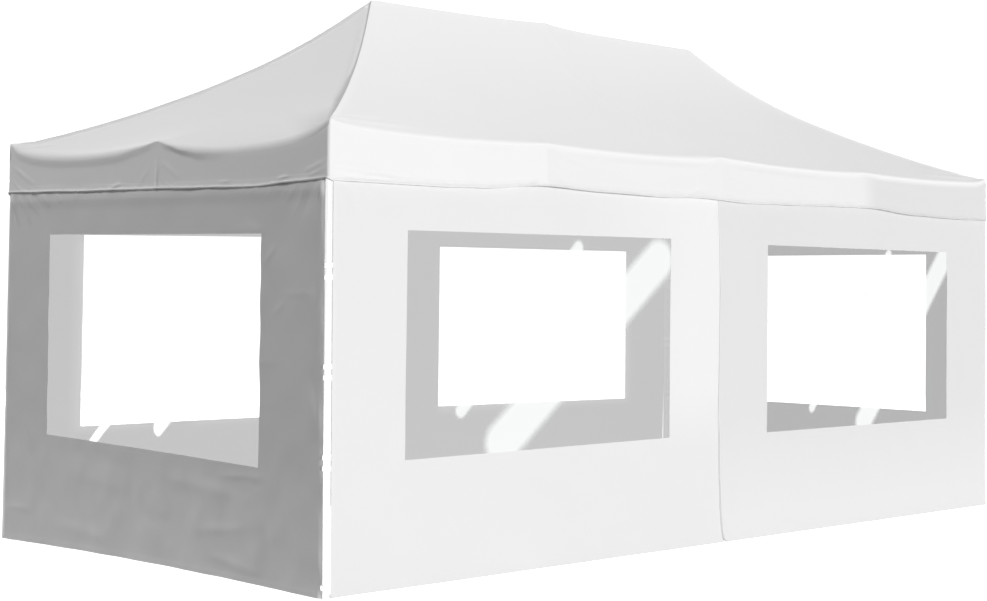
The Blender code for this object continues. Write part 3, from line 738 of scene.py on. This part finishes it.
def make_valance():
    """The skirt below the eave, from the foot of the soft turn down to its hem. Below the bulging fold it
    tucks in, stands out over the truss joints, waves, kicks out and ends in a rolled hem. Its map holds the
    painted grey of its lengths, and the painted shade under its hem and in a wedge at the far left corner."""
    columns = eave_columns(fine=0.007, coarse=0.0155)
    normal, side, along, x, y = (columns[name] for name in ("normal", "side", "along", "x", "y"))
    tangent, bulge = shoulder(columns)[2:]
    top = EAVE - columns["drop"] - tangent + columns["boss"]
    bottom = along_eave(columns, LONG_HEM, SHORT_HEM) + HEM_ROLL * (1 + math.sin(ROLL_START))
    # Painted grey of the lengths and painted shade under the hem, on the long sides only.
    tone = side ** 4 * along_eave(columns, LONG_LENGTH_PAINTED_SHADE, LONG_LENGTH_PAINTED_SHADE[:2])
    shade = side ** 4 * along_eave(columns, LONG_HEM_PAINTED_SHADE, LONG_HEM_PAINTED_SHADE[:2])
    far_corner = (normal[:, 0] < -0.7) * (y > 0)
    deep = np.concatenate([np.linspace(0, 0.86, 20), np.linspace(0.86, 1, 10)[1:]])
    rows = []
    uv = []
    at_corner = bell(columns["cornered"], 0.10)
    joint = fade(columns["loose"], 0.040) * (1 - at_corner)
    tuck = 0.050 - 0.020 * (1 - side) * bell(columns["short"] + 0.20, 0.25)
    for share in deep:
        z = top + (bottom - top) * share
        low = (1 - share) * (top - bottom)
        out = bulge * (0.5 + 0.5 * np.cos(math.pi * np.minimum((top - z) / tuck, 1)))
        flare = (0.0005 + 0.0015 * side) * share + (0.0010 + 0.0050 * side) * share ** 3
        out = out + flare * (1 - 0.6 * at_corner)
        out = out + 0.004 * joint * (1 - np.abs(2 * share - 1)) * (1 - fade(share, 0.05))
        wave = soft_noise(along, np.full_like(along, share * 0.12), 0.50, 9)
        strength = (0.0010 + 0.0010 * share ** 2 + 0.0010 * side * share ** 2) * blend_in(share, 0.0, 0.3)
        out = out + strength * wave * (1 - 0.7 * at_corner)
        folds = side * fold_lines(columns["long"], z, LONG_VALANCE_FOLDS)
        folds += (1 - side) * fold_lines(columns["short"], z, SHORT_VALANCE_FOLDS)
        out = out + folds * blend_in(share, 0.02, 0.2)
        pucker = soft_noise(along, np.full_like(along, share * 0.02), 0.050, 10)
        out = out + 0.0010 * fade(low, 0.030) * pucker * (1 - at_corner)
        out = out + 0.0008 * blend_in(VALANCE_HEM - low, -0.002, 0.002)
        kick = (0.0042 + 0.0036 * side) * (1 + 0.35 * pucker) * fade(low, 0.0065 + 0.0020 * side)
        out = out + kick * (1 - 0.8 * at_corner)
        out = np.maximum(out, 0.0010 * blend_in(share, 0.0, 0.1))
        rows.append(np.stack([x + normal[:, 0] * out, y + normal[:, 1] * out, z], axis=1))
        # A wedge of painted shade at the far left corner, in the top 0.2 m of the short side.
        edge = 0.020 * bell(top - z - 0.06, 0.060) + 0.002
        beside = 1 - blend_in(HALF_WIDTH - y, edge * 0.6, edge * 1.4)
        painted_corner_shade = far_corner * beside * (top - z < 0.20)
        uv.append(np.stack([tone * blend_in(top - z, 0.0, 0.030), painted_corner_shade], axis=1))
    centre = out - HEM_ROLL * math.cos(ROLL_START)
    for angle in np.linspace(ROLL_START, ROLL_END, 9)[1:]:
        out = centre + HEM_ROLL * math.cos(angle)
        z = bottom - HEM_ROLL * (math.sin(ROLL_START) - math.sin(angle))
        rows.append(np.stack([x + normal[:, 0] * out, y + normal[:, 1] * out, z], axis=1))
        # Painted shade on the underside of the rolled hem.
        under = shade * float(blend_in(np.array(-angle), -0.15, 0.30))
        uv.append(np.stack([tone, under], axis=1))
    faces = grid_faces(len(rows), len(x), loop_columns=True)
    skirt = finish_mesh("valance_skirt", np.stack(rows[::-1]), faces, VALANCE_CLOTH, np.stack(uv[::-1]))
    thicken(skirt, CLOTH)
    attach(skirt, BODY)
    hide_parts("valance_front", "valance_back", "valance_left", "valance_right")


def seam_lap(v):
    """Where two wall panels meet at a middle leg: how far the edge stands right of the leg's centre.
    It hangs nearly plumb and swings out at the ground."""
    return np.interp(
        v,
        (0.0, 0.08, 0.20, 0.45, 0.75, 1.00, 1.45, 1.75, 2.00),
        (0.040, 0.020, 0.004, -0.010, -0.016, -0.010, -0.006, -0.015, -0.031),
    )


def seam_strength(v):
    """How tightly the two edges of a middle seam are drawn together: by straps near the ground and
    just below the valance, hardly between them."""
    return 0.04 + 1.0 * blend_in(0.80 - v, 0.0, 0.20) + 0.30 * blend_in(v, 1.45, 1.60)


# Folds of a wall, in its length and height: those of the left wall alone, and the pinches at a top corner.
LEFT_FOLDS = (
    (2.56, 1.449, 2.84, 1.450, 0.012, 0.0045),
    (2.40, 1.126, 2.58, 1.128, 0.013, 0.0035),
    (2.40, 0.920, 2.56, 0.924, 0.013, 0.0030),
    (2.08, 0.545, 2.48, 0.572, 0.018, 0.0075),
    (2.20, 0.510, 2.44, 0.520, 0.014, -0.0050),
    (0.06, 0.640, 0.44, 0.300, 0.024, 0.0080),
    (0.02, 0.520, 0.30, 0.250, 0.024, -0.0060),
    (0.02, 0.190, 0.34, 0.185, 0.020, 0.0065),
    (0.10, 0.780, 0.30, 0.560, 0.024, 0.0050),
    (2.76, 1.120, 2.88, 0.760, 0.050, 0.0070),
    (1.50, 0.500, 2.40, 0.440, 0.040, 0.0080),
    (0.50, 0.560, 1.40, 0.500, 0.045, -0.0070),
    (0.70, 0.430, 1.30, 0.380, 0.035, 0.0050),
    (1.90, 0.230, 2.34, 0.290, 0.032, 0.0070),
    (1.40, 0.260, 1.80, 0.210, 0.034, -0.0055),
    (2.00, 0.110, 2.46, 0.060, 0.030, 0.0080),
    (0.60, 0.130, 1.10, 0.090, 0.032, 0.0060),
    (2.26, 1.805, 2.46, 1.745, 0.012, 0.0040),
    (2.16, 1.775, 2.42, 1.762, 0.012, 0.0035),
    (2.44, 1.590, 2.54, 1.690, 0.014, 0.0045),
    (2.50, 1.340, 2.62, 1.420, 0.014, 0.0040),
)

PINCHES = (
    (0.020, 1.985, 0.110, 1.800, 0.012, 0.0036),
    (0.060, 1.985, 0.190, 1.780, 0.013, -0.0030),
    (0.110, 1.985, 0.240, 1.810, 0.012, 0.0032),
    (0.180, 1.985, 0.330, 1.850, 0.013, 0.0028),
    (0.260, 1.985, 0.380, 1.880, 0.012, -0.0022),
    (0.360, 1.985, 0.450, 1.900, 0.012, 0.0022),
    (0.520, 1.985, 0.580, 1.915, 0.012, 0.0018),
    (0.700, 1.985, 0.740, 1.930, 0.012, 0.0016),
)


# Hems and edges of a wall. The edge of a hem is soft over this much on either side, and a pressed or
# tucked part sinks no deeper than this behind the plane of the wall.
SIDE_HEM = 0.032
GROUND_HEM = 0.030
HEM_EDGE = 0.003
PRESSED = 0.0022
# How high the foot hangs above the floor.
FOOT_CLEAR = 0.002
# Along the ground: how far a seam's shift and a corner's shift reach in from the end, how much further the
# lower edge of a seam runs under the upper one, and the height and depth of the curl at its foot.
SEAM_REACH = 0.25
END_REACH = 0.05
SEAM_OVERLAP = 0.014
FOOT_CURL = 0.030


def wall_relief(u, v, panel):
    """How far a panel stands out of its plane: slow billows, small gathers under the valance, pinches
    that fan from both top corners, its own folds, a hem that kicks out at the ground, thicker side and
    ground hems, and on some a soft roll under the valance. It lies flat where the valance covers it and
    is pressed on to a corner leg."""
    width = panel["width"]
    seed = panel["seed"]
    held = np.sin(math.pi * np.clip(u / width, 0, 1)) ** 0.5 * blend_in(WALL_TOP - v, 0.0, 0.25)
    lively = panel.get("lively", 1.0)
    out = 0.0026 * soft_noise(u, v, 1.1, seed) * held
    out += 0.0011 * lively * soft_noise(u, v, 0.30, seed + 1)
    out += 0.0004 * lively * soft_noise(u, v, 0.12, seed + 4) * blend_in(1.0 - v, 0.0, 0.5)
    under = fade(np.clip(1.99 - v, 0, None), 0.045) * blend_in(WALL_TOP - v, 0.0, 0.06)
    out += 0.0004 * (1 + lively) * under * soft_noise(u + 0.3 * v, v * 0.1, 0.050, seed + 2)
    first, last = panel.get("pinch", (0.6, 0.6))
    out += first * fold_lines(u, v, PINCHES) + last * fold_lines(width - u, v, PINCHES)
    out += 0.6 * fold_lines(u, v, panel.get("folds", ()))
    out += 0.007 * (fade(v, GROUND_HEM) * (0.7 + 0.3 * soft_noise(u, v, 0.5, seed + 3)))
    out += 0.0008 * blend_in(GROUND_HEM - v, -HEM_EDGE, HEM_EDGE)
    first_hem, last_hem = SIDE_HEM - u, SIDE_HEM - width + u
    out += 0.0006 * (blend_in(first_hem, -HEM_EDGE, HEM_EDGE) + blend_in(last_hem, -HEM_EDGE, HEM_EDGE))
    out += panel.get("under_roll", 0.0) * bell(v - 1.935, 0.035)
    out = out * (1 - blend_in(v, 1.95, 2.03))
    strength = seam_strength(v)
    if "seam_left" in panel:
        # The upper edge of a seam: it stands out, then rolls in to a face that looks sideways.
        out += (0.0090 * fade(u, 0.060) * strength + 0.002) * np.exp(-((v / 2.10) ** 12))
        out -= 0.0100 * bell(u, 0.0045) * strength
    elif "seam_right" in panel:
        # The lower edge: it sinks towards the leg and runs on under the other.
        away = width - u
        out = out * blend_in(away, 0.0, 0.08)
        out += 0.0030 * bell(away - 0.050, 0.030) * strength
        out -= 0.0020 * fade(away, 0.020)
    if "seam_left" not in panel:
        near_end = u if "seam_right" in panel else np.minimum(u, width - u)
        corner = bell(near_end, 0.012)
        out = out * (1 - corner) - 0.0021 * corner
    return np.maximum(out, -PRESSED)


def panel_points(panel, u, v, set_back):
    """Places of a panel's points: the origin, u along the ground, v up, and the relief outwards. The
    edges at a middle leg move sideways to their lap, and those at the corners towards the ground. The
    window leans down by the panel's tilt, its head is raised at both ends, and the ground hem bows up
    in the middle."""
    width = panel["width"]
    left, right, sill, head = panel["window"]
    out = wall_relief(u, v, panel) - set_back
    shift = np.zeros_like(u)
    if "seam_right" in panel:
        shift += (seam_lap(v) + SEAM_OVERLAP) * blend_in(u, width - SEAM_REACH, width)
    if "seam_left" in panel:
        curl = FOOT_CURL * (1 - np.sqrt(np.clip(1 - (1 - np.clip(v / FOOT_CURL, 0, 1)) ** 2, 0, 1)))
        shift += (seam_lap(v) + curl) * blend_in(width - u, width - SEAM_REACH, width)
    first_end, last_end = fade(u, END_REACH), fade(width - u, END_REACH)
    towards_ground = np.clip(1 - v / 2.0, 0, 1)
    shift += panel.get("spread", 0.0) * last_end * towards_ground
    shift += panel.get("drawn_in", 0.0) * first_end * towards_ground
    shift -= panel.get("flick", 0.0) * first_end * fade(v, 0.04)
    u_marks, v_marks = (0.0, left, right, width), (0.0, sill, head, WALL_TOP)
    down = np.interp(u, u_marks, (0.0, 0.0, 1.0, 0.6))
    down = down * np.interp(v, v_marks, (0.0, *panel.get("tilt", (0.0, 0.0)), 0.0))
    raised = np.interp(u, u_marks, (0.0, *panel.get("raised_head", (0.0, 0.0)), 0.0))
    down = down - raised * np.interp(v, v_marks, (0.0, 0.0, 1.0, 0.0))
    lift = panel.get("bow", 0.0) * np.sin(math.pi * u / width) * (1 - v / WALL_TOP) ** 3
    origin = np.asarray(panel["origin"])
    points = origin + (u + shift)[..., None] * np.asarray(panel["along"])
    points = points + out[..., None] * np.asarray(panel["outward"])
    points[..., 2] += v - down + lift + FOOT_CLEAR
    return points


def marked_steps(marks, spacing):
    """Even steps of about the spacing between marks, so that each cut edge falls on a grid line."""
    parts = [
        np.linspace(low, high, max(int(round((high - low) / spacing)), 2) + 1)[:-1]
        for low, high in zip(marks[:-1], marks[1:])
    ]
    return np.append(np.concatenate(parts), marks[-1])


def merged(*lines):
    """Several lines of places as one, in order and without doubles."""
    return np.unique(np.concatenate(lines).round(5))


# Bands of a panel that have finer steps: at its ends, the finest right at the edge, and under the
# valance. A place is on a mark where it is nearer than this.
SIDE_BAND = 0.060
EDGE_BAND = 0.010
TOP_BAND = (1.80, 2.02)
ON_MARK = 1e-4


def make_wall(panel):
    """One panel with its window cut through: the quads inside the hole are left out, and so are the
    points that no quad uses."""
    name = panel["name"]
    width = panel["width"]
    step = panel["step"]
    left, right, sill, head = panel["window"]
    u_line = marked_steps((0.0, SIDE_BAND, left, right, width - SIDE_BAND, width), step)
    fine = merged(marked_steps((0.0, EDGE_BAND), 0.002), marked_steps((EDGE_BAND, SIDE_BAND), 0.006))[:-1]
    between = (u_line >= SIDE_BAND - ON_MARK) & (u_line <= width - SIDE_BAND + ON_MARK)
    u_line = np.concatenate([fine, u_line[between], width - fine[::-1]])
    v_line = merged(
        marked_steps((0.0, GROUND_HEM, sill, head, *TOP_BAND, WALL_TOP), step * 1.15),
        marked_steps(TOP_BAND, 0.012),
        marked_steps((0.0, 2 * GROUND_HEM), 0.006),
    )
    v_line = v_line[np.concatenate([[True], np.diff(v_line) > 0.001])]
    u, v = np.meshgrid(u_line, v_line)
    in_u = (u_line[:-1] > left - ON_MARK) & (u_line[1:] < right + ON_MARK)
    in_v = (v_line[:-1] > sill - ON_MARK) & (v_line[1:] < head + ON_MARK)
    faces = grid_faces(*u.shape)[~(in_v[:, None] & in_u[None, :])]
    used, faces = np.unique(faces, return_inverse=True)
    points = panel_points(panel, u, v, 0.0).reshape(-1, 3)[used]
    uv = np.stack([u, v], axis=-1).reshape(-1, 2)[used]
    cloth = finish_mesh(f"{name}_cloth", points, faces, panel["outside"], uv)
    thicken(cloth, CLOTH, panel["inside"])
    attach(cloth, BODY)
    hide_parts(name)
    make_film(panel)


FILM_LAP = 0.014
FILM_BEHIND = 0.0014
FILM_THICKNESS = 0.0005


def make_film(panel):
    """The clear window: a taut sheet behind its hole that bellies a little and laps it by a narrow
    weld."""
    left, right, sill, head = panel["window"]
    lap = FILM_LAP
    marks = (left - lap, right + lap), (sill - lap, head + lap)
    u, v = np.meshgrid(*(marked_steps(pair, 1.8 * panel["step"]) for pair in marks))
    window = panel["name"].replace("wall", "window")
    inside = np.sin(math.pi * np.clip((u - left) / (right - left), 0, 1))
    inside = inside * np.sin(math.pi * np.clip((v - sill) / (head - sill), 0, 1))
    belly = 0.0016 * inside * (1 + soft_noise(u, v, 0.8, panel["seed"] + 5))
    points = panel_points(panel, u, v, FILM_BEHIND)
    points = points + belly[..., None] * np.asarray(panel["outward"])
    uv = np.stack([u - left, v - sill], axis=-1)
    material = FILM_GLARE.get(window, FILM)
    film = finish_mesh(f"{window}_film", points, grid_faces(*u.shape), material, uv)
    thicken(film, FILM_THICKNESS, FILM)
    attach(film, BODY)
    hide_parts(window)


# Each panel laps its far corner by this much, so that only two corner legs show between the cloths.
CORNER_LAP = 0.024
# Side hems draw in by this much, so that a little more of a corner leg shows than between the solids.
HEM_DRAW = 0.006


def wall_panels():
    """The six panels, each seen from outside with its left end first. Seam_right and seam_left name the
    end that a middle leg holds. At the ground, drawn_in and spread move the first and the last end along
    the wall and flick kicks the foot of the first one out. Tilt lowers the window's last end, at the
    sill and at the head, raised_head lifts the head at both ends, and bow lifts the middle of the hem.
    Lively scales the small waves and pinch those of the two top corners."""
    reach_x = WALL_X - CORNER_SHOWN - HEM_DRAW
    reach_y = WALL_Y - CORNER_SHOWN - HEM_DRAW
    inner = WINDOW_X - WINDOW_HALF
    outer = WINDOW_X + WINDOW_HALF
    panels = []
    for side, turn, seed in (("front", 1, 20), ("back", -1, 40)):
        first, second = ("left", "right") if turn > 0 else ("right", "left")
        shared = {
            "along": (turn, 0.0, 0.0),
            "outward": (0.0, -turn, 0.0),
            "step": 0.020,
            "inside": LONG_WALL_INSIDE,
        }
        panels.append(
            {
                **shared,
                "name": f"wall_{side}_{first}",
                "origin": (-turn * reach_x, -turn * WALL_Y, 0.0),
                "width": reach_x,
                "window": (reach_x - outer, reach_x - inner, WINDOW_SILL, WINDOW_HEAD),
                "seed": seed,
                "tilt": (-0.012, -0.014 if turn > 0 else 0.0),
                "raised_head": (0.0, 0.0) if turn > 0 else (0.030, 0.019),
                "outside": FIRST_WALL_CLOTH,
                "inside": FIRST_WALL_INSIDE,
                "drawn_in": 0.016,
                "seam_right": True,
            }
        )
        panels.append(
            {
                **shared,
                "name": f"wall_{side}_{second}",
                "origin": (0.0, -turn * WALL_Y, 0.0),
                "width": reach_x + CORNER_LAP,
                "spread": 0.011,
                "raised_head": (0.0, 0.0) if turn > 0 else (0.058, 0.019),
                "window": (inner, outer, WINDOW_SILL, WINDOW_HEAD),
                "seed": seed + 10,
                "outside": SECOND_WALL_SHADED_CLOTH,
                "seam_left": True,
            }
        )
    for name, turn, seed in (("wall_left", -1, 60), ("wall_right", 1, 80)):
        middle = reach_y + CORNER_LAP - (0.030 if turn < 0 else 0.0)
        panels.append(
            {
                "name": name,
                "along": (0.0, turn, 0.0),
                "outward": (turn, 0.0, 0.0),
                "width": 2 * reach_y + CORNER_LAP,
                "step": 0.0125,
                "outside": END_WALL_SHADED_CLOTH,
                "inside": SHORT_WALL_INSIDE,
                "origin": (turn * WALL_X, -turn * (reach_y + CORNER_LAP), 0.0),
                "window": (middle - WINDOW_HALF, middle + WINDOW_HALF, WINDOW_SILL, WINDOW_HEAD),
                "seed": seed,
                "bow": 0.018,
                "flick": 0.020,
                "spread": 0.021,
                "under_roll": 0.0065,
                "pinch": (3.0, 0.6),
                "lively": 3.0,
                "tilt": (0.046, 0.024) if turn < 0 else (0.0, 0.0),
                "folds": LEFT_FOLDS if turn < 0 else (),
            }
        )
    return panels


CORNERS = {"front_left": (-1, -1), "front_right": (1, -1), "back_left": (-1, 1), "back_right": (1, 1)}
STRAP_HEIGHTS = (1.567, 1.510, 1.089, 1.037, 0.662, 0.610, 0.054)
STRAP_WIDTH = 0.024
STRAP_THICKNESS = 0.0010
# The strap stands out this much at the open corner and crowns this much, and lies this close elsewhere.
STRAP_BULGE = 0.0052
STRAP_CROWN = 0.0022
STRAP_CLEAR = 0.0012
# The lower and the upper end of the sleeve, and how far it stands off the width of the upper tube.
SLEEVE = (0.006, 0.905)
SLEEVE_CLEAR = 0.0006


def make_straps():
    """Straps that tie the walls to the corner legs: each is a closed band round the leg, a rounded
    square that stands out at the open corner and lies close where the walls cover it. Its section
    is crowned like soft webbing. A plain sleeve round the lower tube, as wide as the upper one, makes
    the white strip between the walls run down to the ground with an even width."""
    around = np.linspace(0, math.tau, 65)[:-1]
    across = np.linspace(-1, 1, 5)
    height, angle = np.meshgrid(across, around, indexing="ij")
    cosine, sine = np.cos(angle), np.sin(angle)
    square = (np.abs(cosine) ** 7 + np.abs(sine) ** 7) ** (-1 / 7)
    for corner, (sign_x, sign_y) in CORNERS.items():
        facing = math.atan2(sign_y, sign_x)
        shown = 1.0 if sign_x == sign_y else 0.15
        open_side = shown * bell(np.angle(np.exp(1j * (angle - facing))), 0.62)
        crown = STRAP_CROWN * open_side * (1 - height ** 4)
        radius = 0.5 * LEG * square + STRAP_CLEAR + STRAP_BULGE * open_side + crown
        bands = []
        for index, middle in enumerate(STRAP_HEIGHTS):
            lean = 0.003 * math.sin(3.1 * index) * np.cos(angle - facing)
            bands.append((radius, middle + height * STRAP_WIDTH / 2 + lean))
        rise = SLEEVE[0] + (SLEEVE[1] - SLEEVE[0]) * (height + 1) / 2
        bands.append(((0.5 * LEG + SLEEVE_CLEAR) * square, rise))
        radius, z = np.stack(bands, axis=1)
        points = np.stack([sign_x * LEG_X + radius * cosine, sign_y * LEG_Y + radius * sine, z], axis=-1)
        one = grid_faces(len(across), len(around), loop_columns=True).reshape(-1, 4)
        faces = np.concatenate([one + i * angle.size for i in range(len(bands))])
        straps = finish_mesh(f"leg_straps_{corner}", points, faces, STRAP_CLOTH)
        straps.data.materials.append(LEG_METAL)
        kinds = np.repeat([0] * len(STRAP_HEIGHTS) + [1], len(one)).astype(np.int32)
        straps.data.polygons.foreach_set("material_index", kinds)
        thicken(straps, STRAP_THICKNESS)
        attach(straps, BODY)


FRAME_FINISHES = {"leg": LEG_METAL, "slider": NYLON, "truss": BAR_METAL, "post": BAR_METAL}


def paint_frame():
    """The frame keeps its modelled solids and takes its metal and nylon."""
    for name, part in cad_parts.items():
        part.data.materials.clear()
        part.data.materials.append(FRAME_FINISHES.get(name.split("_")[0], WALL_CLOTH))


# The camera was fitted to the corners of the eave, walls, windows and ridge in the photograph.
CAMERA_PLACE = Vector((-8.3998, -8.3546, 1.4479))
CAMERA_YAW = 0.81275
CAMERA_PITCH = 0.02934
CAMERA_ROLL = 0.00979
FOCAL_PIXELS = 1853.40
OPTICAL_CENTRE = (588.24, 238.52)
PHOTO_SIZE = (987, 601)


def make_camera():
    """A level-headed photographer's view: yaw, pitch and a trace of roll, with a small shift."""
    data = bpy.data.cameras.new("photo_camera")
    camera = bpy.data.objects.new("photo_camera", data)
    bpy.context.scene.collection.objects.link(camera)
    ahead = Vector(
        (
            math.cos(CAMERA_PITCH) * math.sin(CAMERA_YAW),
            math.cos(CAMERA_PITCH) * math.cos(CAMERA_YAW),
            math.sin(CAMERA_PITCH),
        )
    )
    right = Vector((math.cos(CAMERA_YAW), -math.sin(CAMERA_YAW), 0.0))
    up = right.cross(ahead)
    side = right * math.cos(CAMERA_ROLL) + up * math.sin(CAMERA_ROLL)
    top = up * math.cos(CAMERA_ROLL) - right * math.sin(CAMERA_ROLL)
    turn = Matrix((side, top, -ahead)).transposed()
    camera.matrix_world = Matrix.Translation(CAMERA_PLACE) @ turn.to_4x4()
    width, height = PHOTO_SIZE
    data.sensor_width = 36.0
    data.lens = FOCAL_PIXELS * data.sensor_width / width
    data.shift_x = (width / 2 - OPTICAL_CENTRE[0]) / width
    data.shift_y = (OPTICAL_CENTRE[1] - height / 2) / width
    data.clip_end = 200.0
    bpy.context.scene.camera = camera


def make_light(name, place, target, width, height, power):
    """A rectangular soft box aimed at a point."""
    data = bpy.data.lights.new(name, "AREA")
    data.shape = "RECTANGLE"
    data.size = width
    data.size_y = height
    data.energy = power
    light = bpy.data.objects.new(name, data)
    light.location = place
    aim = Vector(target) - Vector(place)
    light.rotation_euler = aim.to_track_quat("-Z", "Y").to_euler()
    bpy.context.scene.collection.objects.link(light)


# The lights: name, place, the point it is aimed at, width, height and power in watts.
LIGHTS = (
    ("key", (0.0, -150.0, 1.9), (0.0, -1.0, 1.0), 4.0, 3.0, 195700.0),
    ("overhead", (-1.6, 1.1, 11.0), (0.0, 0.0, 2.0), 8.0, 8.0, 150.0),
    ("side", (-13.0, 4.5, 16.0), (-2.9, 0.2, 1.2), 3.4, 3.4, 1405.0),
    ("side_low", (-5.6, 0.0, 0.22), (-2.9, 0.0, 0.35), 4.0, 0.3, 6.0),
    ("back_fill", (3.0, 16.0, 2.4), (0.0, 1.4, 1.2), 3.0, 3.0, 1400.0),
    ("right_fill", (14.0, 1.0, 3.0), (2.9, 0.0, 1.2), 3.0, 3.0, 420.0),
    ("inside", (0.0, 0.0, 1.88), (0.0, 0.0, 0.0), 4.6, 1.4, 3.0),
)
# How bright the surroundings are as a light, and as what the camera and the glossy faces see.
AMBIENT = 0.056
BACKDROP = 1.25
FLOOR_HALF = 60.0
FLOOR_LEVEL = -0.001


def make_studio():
    """White surroundings, a pale floor, a far key light from the front, one from above the left end, and
    weak ones overhead, inside and at the back and right that fill in."""
    scene = bpy.context.scene
    scene.view_settings.view_transform = "Standard"
    world = bpy.data.worlds.new("studio")
    scene.world = world
    world.use_nodes = True
    tree = world.node_tree
    tree.nodes.clear()
    ray = node(tree, "ShaderNodeLightPath")
    ambient = node(tree, "ShaderNodeBackground", {"Color": WHITE, "Strength": AMBIENT})
    bright = node(tree, "ShaderNodeBackground", {"Color": WHITE, "Strength": BACKDROP})
    direct = {0: ray.outputs["Is Camera Ray"], 1: ray.outputs["Is Glossy Ray"]}
    seen = node(tree, "ShaderNodeMath", direct, operation="MAXIMUM")
    mix = node(tree, "ShaderNodeMixShader", {0: seen, 1: ambient, 2: bright})
    node(tree, "ShaderNodeOutputWorld", {"Surface": mix})

    floor_material = start_material("studio_floor")[0]
    finish_material(
        floor_material,
        {
            "Base Color": linear("F4F4F4"),
            "Roughness": 0.9,
            "Emission Color": WHITE,
            "Emission Strength": 1.2,
        },
    )
    corners = FLOOR_HALF * np.array([(-1, -1, 0), (1, -1, 0), (1, 1, 0), (-1, 1, 0)]) + (0, 0, FLOOR_LEVEL)
    floor = finish_mesh("studio_floor", corners, np.array([[0, 1, 2, 3]]), floor_material)
    floor.visible_diffuse = False

    for light in LIGHTS:
        make_light(*light)


make_canopy()
make_valance()
for wall_panel in wall_panels():
    make_wall(wall_panel)
make_straps()
paint_frame()
make_camera()
make_studio()
